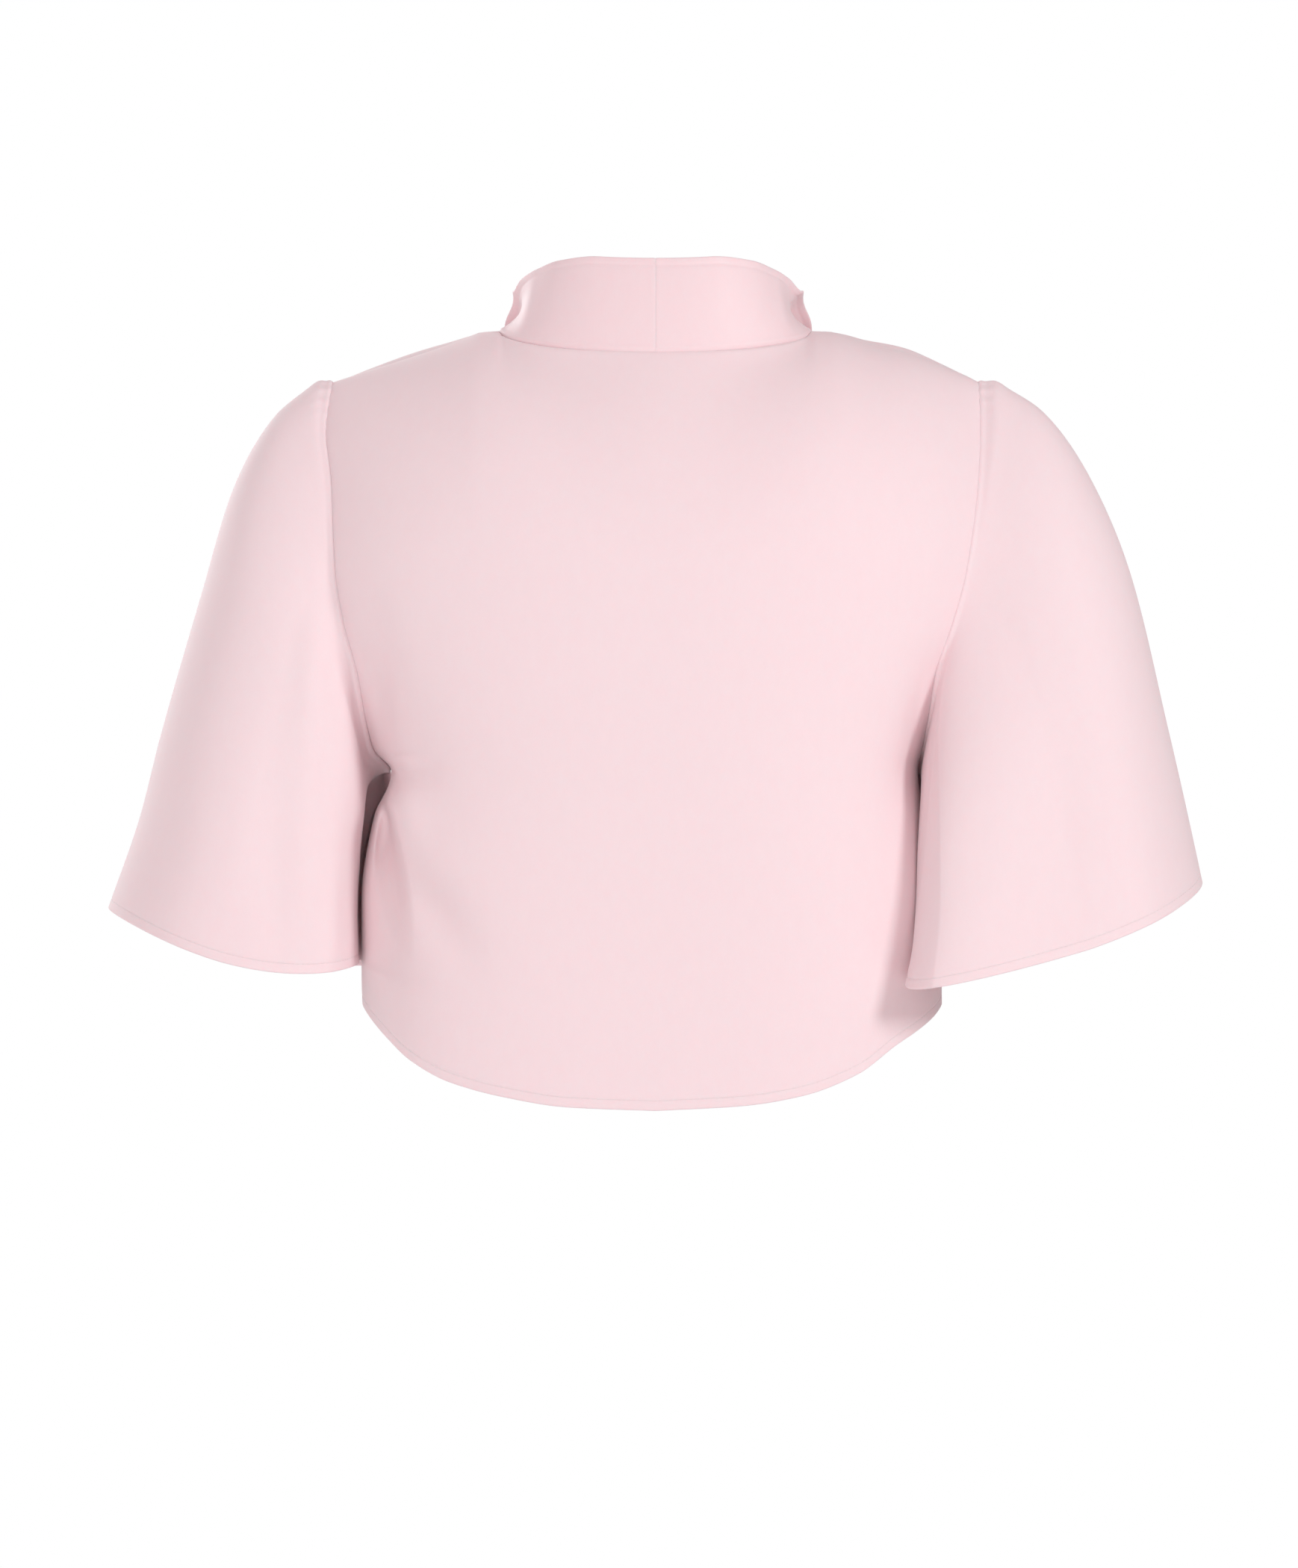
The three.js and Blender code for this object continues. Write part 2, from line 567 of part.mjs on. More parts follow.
// Shares across the back that match the collar's sections and the fronts' shoulder points
function backShares() {
  const shares = [0];
  for (let step = 1; step <= neckSteps; step += 1) {
    shares.push(shoulderShare * Math.sin((Math.PI / 2) * (step / neckSteps)));
  }
  for (const share of shoulderShares) shares.push(mix(shoulderShare, 1, share));
  const mirrored = shares.slice(1).map((share) => -share);
  return [...mirrored.reverse(), ...shares];
}

// At the seams both panels face the same way, so their edges stay the gap apart
function settleBody(out, atSide, atTop) {
  if (atTop) out.y = 0;
  if (atSide) out.y = 0;
  if (atSide && !atTop) out.z = 0;
  out.normalize();
}

function backPanel() {
  const settle = (out, u, v) => {
    const onSideSeam = Math.abs(u) === 1 && v <= levelShare(underarmLevel);
    const onShoulderSeam = v === 1 && Math.abs(u) >= shoulderShare;
    if (onSideSeam || onShoulderSeam) settleBody(out, onSideSeam, onShoulderSeam);
  };
  const place = (u, v) => backPoint(-u, v);
  const relief = (point, u, v) =>
    panelFolds(backFolds, point.x, point.z) * clamp01((1 - Math.abs(u)) / seamQuiet) * clamp01((1 - v) / seamQuiet);
  return clothSolid(place, backShares(), climbs, clothWall, { settle, relief });
}

function frontPanel(side) {
  const settle = (out, u, v) => {
    const onSideSeam = u === 1 && v <= levelShare(underarmLevel);
    const onShoulderSeam = v === 1;
    if (onSideSeam || onShoulderSeam) settleBody(out, onSideSeam, onShoulderSeam);
  };
  const shares = [0, ...shoulderShares];
  const place = (u, v) => frontPoint(side, u, v);
  const folds = frontFolds[sideName(side)];
  const relief = (point, u, v) =>
    panelFolds(folds, side * point.x, point.z) * clamp01((1 - u) / seamQuiet) * clamp01((1 - v) / seamQuiet);
  return clothSolid(place, shares, climbs, clothWall, { flip: side < 0, settle, relief });
}

function sleeve(side) {
  const turns = [];
  for (let step = 0; step < 2 * armholeSteps; step += 1) turns.push(step / (2 * armholeSteps));
  const place = (u, v) => sleevePoint(side, u, v);
  const relief = (point, u, v) => foldsOfSleeve(side, u, v);
  return clothSolid(place, turns, sleeveRings, clothWall, { round: true, flip: side > 0, relief });
}

function collarHalf(side) {
  const stations = [];
  for (let step = 0; step <= neckSteps; step += 1) stations.push(step / neckSteps);
  const down = climbs.slice(0, -1).reverse();
  for (const climb of down) stations.push(2 - climb);
  const rises = [];
  for (let step = 0; step <= collarSteps; step += 1) rises.push(step / collarSteps);
  const settle = (out, u) => {
    if (u > 0) return;
    out.x = 0;
    out.normalize();
  };
  const place = (u, v) => collarPoint(side, u, v);
  return clothSolid(place, stations, rises, collarWall, { flip: side > 0, settle });
}

const jacket = new THREE.Group();
jacket.add(piece("back", backPanel(), 0xf4dcde));
for (const side of [1, -1]) {
  jacket.add(piece(`front_${sideName(side)}`, frontPanel(side), 0xf2d8da));
  jacket.add(piece(`sleeve_${sideName(side)}`, sleeve(side), 0xf6e0e1));
  jacket.add(piece(`collar_${sideName(side)}`, collarHalf(side), 0xf0d2d5));
}

export default jacket;
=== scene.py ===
# %% [markdown]
# A cropped blazer in satin crepe
#
# This lesson dresses a garment: a cropped open blazer with a standing shawl collar and wide
# elbow-length sleeves, filled out as if somebody wore it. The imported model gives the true
# shape of each cut piece as a plain wall. Here every piece is made again as a fine, thin
# cloth with its folds, seams, turned hems and stitches, in the same place and frame.
# Lengths are written in millimetres and turned into metres when a mesh is made.

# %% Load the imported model
import math

import bpy
import numpy as np
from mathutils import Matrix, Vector


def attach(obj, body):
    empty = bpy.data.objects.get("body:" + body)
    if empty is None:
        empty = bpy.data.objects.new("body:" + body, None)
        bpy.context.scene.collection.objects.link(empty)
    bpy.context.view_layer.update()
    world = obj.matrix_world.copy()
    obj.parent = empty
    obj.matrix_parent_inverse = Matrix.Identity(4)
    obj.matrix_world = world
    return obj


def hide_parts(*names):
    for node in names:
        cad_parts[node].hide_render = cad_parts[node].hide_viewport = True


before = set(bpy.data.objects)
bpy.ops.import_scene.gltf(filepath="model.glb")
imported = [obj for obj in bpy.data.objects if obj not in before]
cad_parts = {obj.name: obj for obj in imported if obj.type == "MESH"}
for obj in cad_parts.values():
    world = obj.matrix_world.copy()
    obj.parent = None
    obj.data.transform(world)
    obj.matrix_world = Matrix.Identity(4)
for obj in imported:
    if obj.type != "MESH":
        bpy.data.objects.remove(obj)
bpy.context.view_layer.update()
MM = 0.001

# %% [markdown]
# The cut of a garment is a handful of measured lines: the shoulder line, the hem, the
# armhole, the depth of the body. A long list of points would hide that, so each line is a
# short table with named columns, and a smooth curve without overshoot is read through it.


# %% Short tables and how to read them
def table(columns, *rows):
    """A short table: each named column becomes an array."""
    return {name: np.array(values, float) for name, values in zip(columns.split(), zip(*rows))}


def read(rows, key, column, at):
    """Reads a column at any place of its key, on a monotone cubic curve."""
    knots, values = rows[key], rows[column]
    rise = np.diff(values) / np.diff(knots)
    both = rise[:-1] * rise[1:]
    total = np.where(rise[:-1] + rise[1:] == 0, 1, rise[:-1] + rise[1:])
    inner = np.where(both > 0, 2 * both / total, 0)
    slope = np.concatenate([rise[:1], inner, rise[-1:]])
    at = np.clip(np.asarray(at, float), knots[0], knots[-1])
    row = np.clip(np.searchsorted(knots, at, side="right") - 1, 0, len(knots) - 2)
    span = knots[row + 1] - knots[row]
    t = (at - knots[row]) / span
    t2, t3 = t * t, t * t * t
    return (
        (2 * t3 - 3 * t2 + 1) * values[row]
        + (t3 - 2 * t2 + t) * span * slope[row]
        + (3 * t2 - 2 * t3) * values[row + 1]
        + (t3 - t2) * span * slope[row + 1]
    )


def read_sided(rows, key, at, x):
    """Reads the column of the wearer's left or right, whichever side x is on."""
    return np.where(x >= 0, read(rows, key, "left", at), read(rows, key, "right", at))


def mix(a, b, t):
    return a + (b - a) * t


def clamp(t):
    return np.clip(t, 0, 1)


def smooth(t):
    """From 0 to 1 with no corner at either end."""
    t = clamp(t)
    return t * t * (3 - 2 * t)


def bell(distance, width):
    """A soft bump: 1 at no distance, fading to nothing past the width."""
    return np.exp(-((distance / width) ** 2))


# %% [markdown]
# The body is one rounded section that changes with height, and the armholes are cut into
# it. At the top the cloth rolls forward over the shoulder to the shoulder seam. The tables
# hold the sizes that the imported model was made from. Two things are added to them here,
# because thin cloth does what a stiff wall can't: slack that hangs out below the underarms,
# and a section that is evened out up and down, so that no crease marks the armhole's end.

# %% The body's sizes
SHOULDER_HALF = 193.5
NECK_HALF = 93.0
NECK_DEPTH = 60.0
NECK_DIP = 17.0
SIDE_HEM = -400.0
FRONT_HEM = -385.0
UNDERARM = -262.0
SHOULDER_TIP = -31.0
ROLL_HEIGHT = {"back": 130.0, "front": 110.0}
SHOULDER_ROLL = 0.55
NECK_ROLL = 0.95
NECK_FADE = 2
NECK_FADE_LEAN = 8
NECK_ROUND = 0.5
SLACK = {"left": 10.5, "right": 2.0}
SLACK_LEVEL = -316.0
SLACK_REACH = 56.0
SLACK_START = 26.0
# The evened section: its heights, the width and ends of the evening, and the share of the
# body's half width up to which it holds
LEVELS = np.arange(-480.0, 40.0)
EVEN_OVER = 20
EVEN_ENDS = 3
EVEN_UNTIL = 0.72

shoulder_line = table(
    "x left right",
    (93, 0, 0),
    (104, -0.7, -0.4),
    (112, -3.8, -2.3),
    (126, -9, -7),
    (150, -17, -12.6),
    (171, -23.6, -20.6),
    (186, -28.5, -27),
    (193.5, -31, -31),
)
back_hem = table(
    "x left right",
    (0, -458.3, -458.3),
    (50, -456.3, -455.6),
    (85, -450.9, -450),
    (118, -442.2, -437.7),
    (140, -430.5, -422),
    (154, -417.8, -413.3),
    (163, -408.3, -406.8),
    (170, -400, -400),
)
front_hem = table(
    "x left right",
    (44, -385, -385),
    (110, -404, -402),
    (145, -413, -407),
    (158, -413, -408),
    (166, -408, -405),
    (170, -400, -400),
)
edges = {
    "back": table(
        "z left right depth",
        (-470, 173, 170, 0),
        (-400, 173, 170, 0),
        (-340, 166, 165, 0),
        (-300, 160, 160, 0),
        (-262, 157, 156, 0),
        (-250, 166.5, 158, 20),
        (-232, 171, 161, 36),
        (-205, 175.5, 165, 50),
        (-175, 183.5, 175, 56),
        (-145, 188.5, 183, 56),
        (-90, 192, 191, 49),
        (-60, 196, 193, 41),
        (-31, 193.5, 193.5, 34),
    ),
    "front": table(
        "z left right depth",
        (-470, 173, 170, 0),
        (-400, 173, 170, 0),
        (-340, 166, 165, 0),
        (-300, 160, 160, 0),
        (-262, 157, 156, 0),
        (-250, 162, 156.5, 18),
        (-232, 165.5, 159, 33),
        (-200, 171, 165, 47),
        (-150, 177, 175, 50),
        (-90, 185, 184, 46),
        (-60, 190, 189, 38),
        (-31, 193.5, 193.5, 30),
    ),
}
body_depth = table(
    "z back front power",
    (-470, 105, 106, 2.8),
    (-400, 105, 107, 2.8),
    (-330, 106, 110, 2.8),
    (-262, 108, 116, 2.7),
    (-200, 110, 121, 2.6),
    (-150, 110, 114, 2.5),
    (-90, 107, 98, 2.4),
    (0, 103, 80, 2.4),
)
open_edge = table(
    "z x",
    (-400, 45),
    (-320, 40),
    (-250, 43),
    (-180, 54),
    (-120, 66),
    (-80, 76),
    (-40, 86),
    (-15, 91),
    (0, 93),
)


# %% The body's surface
def neckline(side, quarter):
    """The neck seam from the centre back, 0, to the side of the neck, 1."""
    angle = quarter * math.pi / 2
    back = np.cos(angle)
    return np.stack([side * NECK_HALF * np.sin(angle), NECK_DEPTH * back, -NECK_DIP * back], -1)


def top_level(x, face):
    """Height of the shoulder line or the neckline over a point."""
    across = np.abs(x)
    inside = np.sqrt(np.maximum(0, 1 - (across / NECK_HALF) ** 2))
    neck = -NECK_DIP * inside if face == "back" else 0 * inside
    return np.where(across >= NECK_HALF, read_sided(shoulder_line, "x", across, x), neck)


def half_width(z, x, face):
    """Half width of the cut piece, with the slack that hangs out below the underarm."""
    most = np.where(np.asarray(x) >= 0, SLACK["left"], SLACK["right"])
    slack = most * bell(z - SLACK_LEVEL, SLACK_REACH)
    return read_sided(edges[face], "z", z, x) + slack * smooth((UNDERARM - z) / SLACK_START)


def drawn_width(z, x, face):
    """Half width that the section would have with no armhole cut into it."""
    power = read(body_depth, "z", "power", z)
    cut = read(edges[face], "z", "depth", z) / read(body_depth, "z", face, z)
    return half_width(z, x, face) / (1 - cut**power) ** (1 / power)


def evened_width(side, face):
    """The drawn width as the cloth evens it out up and down, one value a millimetre."""
    reach = EVEN_ENDS * EVEN_OVER
    spread = np.exp(-((np.arange(-reach, reach + 1) / EVEN_OVER) ** 2) / 2)
    drawn = np.pad(drawn_width(LEVELS, side, face), reach, "edge")
    return np.convolve(drawn, spread / spread.sum(), "valid")


evened = {(side, face): evened_width(side, face) for side in (1, -1) for face in edges}


def body_reach(x, z, face):
    """How far the back or the front lies behind or before the shoulder seam."""
    across = np.abs(x)
    middle = read(body_depth, "z", face, z)
    power = read(body_depth, "z", "power", z)

    def section(width):
        return middle * (1 - clamp(across / width) ** power) ** (1 / power)

    even_left, even_right = (np.interp(z, LEVELS, evened[side, face]) for side in (1, -1))
    even = np.where(x >= 0, even_left, even_right)
    near_edge = smooth((across / half_width(z, x, face) - EVEN_UNTIL) / (1 - EVEN_UNTIL))
    flat = mix(section(even), section(drawn_width(z, x, face)), near_edge)
    climb = clamp((z - top_level(x, face)) / ROLL_HEIGHT[face] + 1)
    if face == "front":
        return flat * (1 - climb * climb) ** SHOULDER_ROLL
    near_neck = clamp(across / NECK_HALF)
    inside = 1 - near_neck**2
    near_top = climb**NECK_FADE_LEAN
    dip = NECK_DIP * (np.sqrt(inside) - inside**NECK_FADE) * (1 - near_top)
    climb = clamp(climb - dip / ROLL_HEIGHT[face])
    roll_power = mix(NECK_ROLL, SHOULDER_ROLL, smooth(near_neck))
    roll = (1 - climb * climb) ** roll_power
    top = NECK_DEPTH * inside ** mix(NECK_FADE, NECK_ROUND, near_top)
    return top + (flat - top) * roll


def back_surface(share, climb):
    """The back, from its left side, share 1, to its right, -1, and from hem to top."""
    side_level = mix(SIDE_HEM, SHOULDER_TIP, climb)
    hem = read_sided(back_hem, "x", np.abs(share) * back_hem["x"][-1], share)
    x = share * half_width(side_level, share, "back")
    z = mix(hem, top_level(share * SHOULDER_HALF, "back"), climb)
    return np.stack([x, body_reach(x, z, "back"), z], -1)


def open_edge_point(side, climb):
    z = mix(FRONT_HEM, 0, climb)
    x = side * read(open_edge, "z", "x", z)
    return np.stack([x, -body_reach(x, z, "front"), z], -1)


# The rise of a front over the shoulder, between its two ends at the seam
CREST_HEIGHT = 7.0
CREST_SHARE = 0.05
CREST_LEAN = 0.6


def front_surface(side, share, climb):
    """A front, from its open edge, share 0, to its side, 1, and from hem to shoulder."""
    start = np.abs(open_edge_point(side, climb)[..., 0])
    side_level = mix(SIDE_HEM, SHOULDER_TIP, climb)
    x = side * mix(start, half_width(side_level, side, "front"), share)
    hem_x = mix(front_hem["x"][0], front_hem["x"][-1], share)
    hem = read_sided(front_hem, "x", hem_x, side)
    top = top_level(side * mix(NECK_HALF, SHOULDER_HALF, share), "front")
    near_top = clamp((1 - climb) / CREST_SHARE)
    crest = CREST_HEIGHT * np.sin(np.pi * near_top**CREST_LEAN) * np.sin(np.pi * share)
    z = mix(hem, top, climb)
    return np.stack([x, -body_reach(x, z, "front"), z + crest], -1)


# %% [markdown]
# A sleeve is a row of rings. The first is the armhole itself, and the next ones fan out
# from the underarm to the hem, which is wide and dips at the back. The right sleeve hangs
# with its inner back tucked behind the body, so its rings are pushed clear of the body as
# cloth that leans on it would be.

# %% The sleeves' sizes and surface
sleeve_lines = {
    "left": table(
        "at out_x out_z in_x in_z back front dip tuck wrap",
        (0, 193.5, -31, 157, -262, 56, 50, 0, 0, 0),
        (0.025, 200, -29.6, 162, -264, 57, 51, 0, 1, 3),
        (0.055, 210, -36, 167, -267, 59, 52, 0, 3, 10),
        (0.12, 228, -52, 172, -273, 62, 55, 1, 7, 18),
        (0.25, 250.5, -92, 174.5, -289, 67, 60, 2, 8, 24),
        (0.44, 270, -156, 176, -314, 73, 66, 5, 6, 27),
        (0.7, 295, -243, 176.5, -345, 80, 73, 9, 5, 28),
        (0.84, 307, -290, 176, -360, 83, 76, 11, 5, 28),
        (1, 325.5, -343, 175, -375, 86, 79, 14.5, 5, 27),
    ),
    "right": table(
        "at out_x out_z in_x in_z back front dip tuck wrap",
        (0, 193.5, -31, 156, -262, 56, 50, 0, 0, 0),
        (0.025, 202, -29.6, 157, -264, 57, 51, 0, 1, 0),
        (0.055, 212, -35, 158, -267, 58, 52, 0, 4, 3),
        (0.12, 231, -48, 161, -274, 61, 55, 1, 10, 9),
        (0.25, 257, -84, 166, -292, 68, 60, 2, 19, 20),
        (0.44, 282, -142, 170, -318, 77, 66, 4.5, 28, 26),
        (0.7, 305, -236, 174, -348, 87, 72, 7.5, 36, 28),
        (0.84, 314, -275, 175, -362, 91, 75, 9.5, 40, 27),
        (1, 325.5, -327.5, 176, -376, 95, 78, 13.5, 47, 26),
    ),
}
TUCK_LIFT = 0.3
ARMHOLE_FADE = 0.3
SLEEVE_CLEARANCE = 1.4
CLEARANCE_GROWTH = 0.2
CORNER_GROWTH = 0.1
UNDERARM_OVERLAP = 4
SEAM_GAP = 0.3
SEAM_OVERLAP = -0.9
UNDERARM_GAP = 1.2


# The dip's power, how it leans on the outer and the inner half, and the inner corner
ring_shapes = {
    "left": {"power": 2, "outer": 0.35, "inner": 0.35, "corner": 0.66},
    "right": {"power": 1.3, "outer": 0, "inner": 1.7, "corner": 0.62},
}


def side_name(side):
    return "left" if side > 0 else "right"


def armhole(side, turn):
    """The armhole: 0 at the shoulder tip, first down the back, 0.5 under the arm."""
    middle = (SHOULDER_TIP + UNDERARM) / 2
    z = middle + (SHOULDER_TIP - UNDERARM) / 2 * np.cos(2 * np.pi * turn)
    behind = turn <= 0.5
    points = {}
    for face, way in (("back", 1), ("front", -1)):
        x = side * half_width(z, side, face)
        points[face] = np.stack([x, way * body_reach(x, z, face), z], -1)
    return np.where(behind[..., None], points["back"], points["front"])


def clear_of_body(points, clearance):
    """Moves points away from the body's middle until they are clear of it."""
    x, y, z = points[..., 0], points[..., 1], points[..., 2]
    width = half_width(z, x, "back") + clearance
    depth = np.where(y >= 0, read(body_depth, "z", "back", z), read(body_depth, "z", "front", z))
    power = read(body_depth, "z", "power", z)
    inside = (np.abs(x) / width) ** power + (np.abs(y) / (depth + clearance)) ** power
    inside = np.where(z > UNDERARM, 1, np.clip(inside, 1e-6, 1))
    grow = inside ** (-1 / power)
    return np.stack([x * grow, y * grow, z], -1)


def sleeve_ring(side, turn, along):
    rows = sleeve_lines[side_name(side)]
    line = {name: read(rows, "at", name, along) for name in rows}
    out, back = np.cos(2 * np.pi * turn), np.sin(2 * np.pi * turn)
    behind = back > 0
    tuck = np.where(behind, line["tuck"], line["wrap"]) * 2 * np.abs(back) * np.maximum(0, -out)
    shape = ring_shapes[side_name(side)]
    lean = 1 - np.where(out > 0, shape["outer"], shape["inner"]) * out
    dip = line["dip"] * np.abs(back) ** shape["power"] * lean
    x = mix(line["in_x"], line["out_x"], (1 + out) / 2) - tuck
    z = mix(line["in_z"], line["out_z"], (1 + out) / 2) - dip
    square = np.where(out < 0, mix(1, shape["corner"], clamp(along / CORNER_GROWTH)), 1)
    reach = np.abs(back) ** square * np.where(behind, line["back"], line["front"])
    reach = reach + TUCK_LIFT * tuck
    return np.stack([side * x, np.where(behind, reach, -reach), z], -1)


def sleeve_surface(side, turn, along):
    """A sleeve, round from the outer line, turn 0, and from the armhole, 0, to the hem, 1."""
    ring = sleeve_ring(side, turn, along)
    start = armhole(side, turn)
    under = ((1 - np.cos(2 * np.pi * turn)) / 2) ** UNDERARM_OVERLAP
    start[..., 0] += side * mix(SEAM_OVERLAP, UNDERARM_GAP, under)
    fade = clamp(1 - along / ARMHOLE_FADE) ** 2
    pull = (start - sleeve_ring(side, turn, 0 * along)) * fade[..., None]
    clearance = UNDERARM_GAP + SLEEVE_CLEARANCE * clamp(along / CLEARANCE_GROWTH)
    return clear_of_body(ring + pull, clearance)


# %% [markdown]
# The shawl collar stands 55 mm high at the centre back, leans in at the sides of the neck
# and rolls over onto the fronts. Each half is a row of sections, given by the pull of the
# middle and the place of the free edge, both measured from the seam that holds it.

# %% The collar's sizes and surface
collar_sections = table(
    "at mid_out mid_away mid_up edge_out edge_away edge_up",
    (0, 0, -1, 27, 0, -9, 55),
    (0.25, -1, -1, 27, -2, -9, 55),
    (0.45, -2, -3, 26, -4, -11, 51),
    (0.62, -4, -6, 22, -7, -14, 44),
    (0.8, -14, -7, 17, -9, -13, 35),
    (1, -22, -8, 14, -8, -12, 23),
    (1.06, -18, -4, 16, 1, 2, 27),
    (1.14, -12, -8, 16, 8, 2, 24),
    (1.25, -14, -14, 6, 32, -4, 20),
    (1.38, -14, -16, 2, 46, -6, 12),
    (1.6, -12, -16, 0, 52, -6, 4),
    (2, -10, -14, 0, 40, -6, 2),
)
COLLAR_SEAM_GAP = 0.5
COLLAR_TURN = 0.1
LAPEL_CLEARANCE = 3.0
LAPEL_LIFT_RATE = 3
COLLAR_SPREAD = {"left": 0.0, "right": 3.5}
SPREAD_AT = 1.03
SPREAD_WIDTH = 0.13


def collar_seam(side, at):
    """The seam that holds the collar: back neckline, then the open edge of a front."""
    on_front = clamp((at - 1) / COLLAR_TURN)
    back = neckline(side, clamp(at))
    front = open_edge_point(side, clamp(2 - at))
    seam = np.where((at <= 1)[..., None], back, front)
    seam[..., 2] += COLLAR_SEAM_GAP * (1 - on_front)
    seam[..., 1] -= COLLAR_SEAM_GAP * on_front
    return seam


def collar_surface(side, at, rise):
    """A collar half, from the centre back, 0, to the front hem, 2, and seam to edge."""
    seam = collar_seam(side, at)
    part = {name: read(collar_sections, "at", name, at) for name in collar_sections}
    mid, edge = 2 * rise * (1 - rise), rise * rise
    spread = COLLAR_SPREAD[side_name(side)] * bell(at - SPREAD_AT, SPREAD_WIDTH)
    x = seam[..., 0] + side * (mid * part["mid_out"] + edge * (part["edge_out"] + spread))
    y = seam[..., 1] + mid * part["mid_away"] + edge * part["edge_away"]
    z = seam[..., 2] + mid * part["mid_up"] + edge * part["edge_up"]
    lift = SEAM_GAP + LAPEL_CLEARANCE * clamp(LAPEL_LIFT_RATE * rise)
    panel = -body_reach(x, z, "front") - lift
    over_panel = (at > 1) & (rise > 0) & (z < top_level(x, "front"))
    return np.stack([x, np.where(over_panel, np.minimum(y, panel), y), z], -1)


# %% [markdown]
# Cloth is a thin shell, so one maker turns every grid of points into an outer and an inner
# skin joined by a rounded edge. Folds, seam rolls and grooves are heights along the way that
# the cloth faces, added before the skins are made. A Solidify modifier would do the walls,
# but not the thicker turned hem, which here is a step in the inner skin.


# %% Measuring and facing a grid of points
def unit(vectors):
    return vectors / np.maximum(np.linalg.norm(vectors, axis=-1, keepdims=True), 1e-9)


def facing(points, round_about):
    """Unit direction away from the cloth at each point of a grid."""
    if round_about:
        wrapped = np.concatenate([points[:, -1:], points, points[:, :1]], 1)
        across = (wrapped[:, 2:] - wrapped[:, :-2]) / 2
    else:
        across = np.gradient(points, axis=1)
    return unit(np.cross(across, np.gradient(points, axis=0)))


def walked(points, axis, backward=False):
    """Distance walked over the cloth to each point from the first or the last row."""
    steps = np.linalg.norm(np.diff(points, axis=axis), axis=-1)
    if backward:
        steps = np.flip(steps, axis)
    total = np.cumsum(steps, axis)
    zero = np.zeros_like(np.take(total, [0], axis))
    total = np.concatenate([zero, total], axis)
    return np.flip(total, axis) if backward else total


def raised(points, height, round_about, flip):
    """The grid moved along its own facing by a height at each point."""
    way = -1 if flip else 1
    return points + way * facing(points, round_about) * height[..., None]


# %% [markdown]
# Two sewn pieces share a seam allowance, a strip of each that is turned in and lies under
# the other. Edges that only meet would leave a dark slit, so a cloth runs on past its seam
# in a short strip that sinks below its neighbour.

# %% Seam allowances
# Millimetres past the seam, and below the neighbouring cloth
ALLOWANCE = ((1.3, 0.7), (2.8, 1.5))


def run_under(points, thickness, axis, at_end, way, round_about=False):
    """Adds strips past one edge of a grid that sink below the neighbouring cloth."""
    edge, inside = (np.take(points, [-1 - step if at_end else step], axis) for step in (0, 1))
    lift = np.take(way * facing(points, round_about), [-1 if at_end else 0], axis)
    ahead = unit(edge - inside)
    strips = [edge + past * ahead - depth * lift for past, depth in ALLOWANCE]
    pads = [(0, 0), (0, 0)]
    pads[axis] = (0, len(strips)) if at_end else (len(strips), 0)
    parts = [points, *strips] if at_end else [*strips[::-1], points]
    return np.concatenate(parts, axis), np.pad(thickness, pads, "edge")


# %% The cloth maker
EDGE_LOOPS = 3


def rim_strip(outer, inner, outward, first, add_faces):
    """Vertices of a rounded edge between an outer and an inner loop of points."""
    centre, reach = (outer + inner) / 2, (outer - inner) / 2
    half = np.linalg.norm(reach, axis=-1, keepdims=True)
    loops = []
    for step in range(1, EDGE_LOOPS + 1):
        angle = math.pi * step / (EDGE_LOOPS + 1)
        loops.append(centre + math.cos(angle) * reach + math.sin(angle) * half * outward)
    count = len(outer)
    rim = [first["rim"] + k * count + np.arange(count) for k in range(EDGE_LOOPS)]
    rows = [first["outer"], *rim, first["inner"]]
    for upper, lower in zip(rows, rows[1:]):
        ahead_upper, ahead_lower = np.roll(upper, -1), np.roll(lower, -1)
        add_faces(np.stack([upper, lower, ahead_lower, ahead_upper], -1))
    return np.concatenate(loops)


def border(rows, columns):
    """Indices of a grid's border in order, with the row and column just inside each."""
    low = [(0, c) for c in range(columns)]
    right = [(r, columns - 1) for r in range(1, rows)]
    top = [(rows - 1, c) for c in range(columns - 2, -1, -1)]
    left = [(r, 0) for r in range(rows - 2, 0, -1)]
    loop = np.array(low + right + top + left)
    inside = np.stack([np.clip(loop[:, 0], 1, rows - 2), np.clip(loop[:, 1], 1, columns - 2)], -1)
    return loop, inside


def new_piece(name, vertices, faces):
    """A smooth Blender object from vertices in millimetres."""
    mesh = bpy.data.meshes.new(name)
    mesh.from_pydata((vertices * MM).tolist(), [], faces)
    mesh.validate()
    mesh.shade_smooth()
    piece = bpy.data.objects.new(name, mesh)
    bpy.context.scene.collection.objects.link(piece)
    return piece


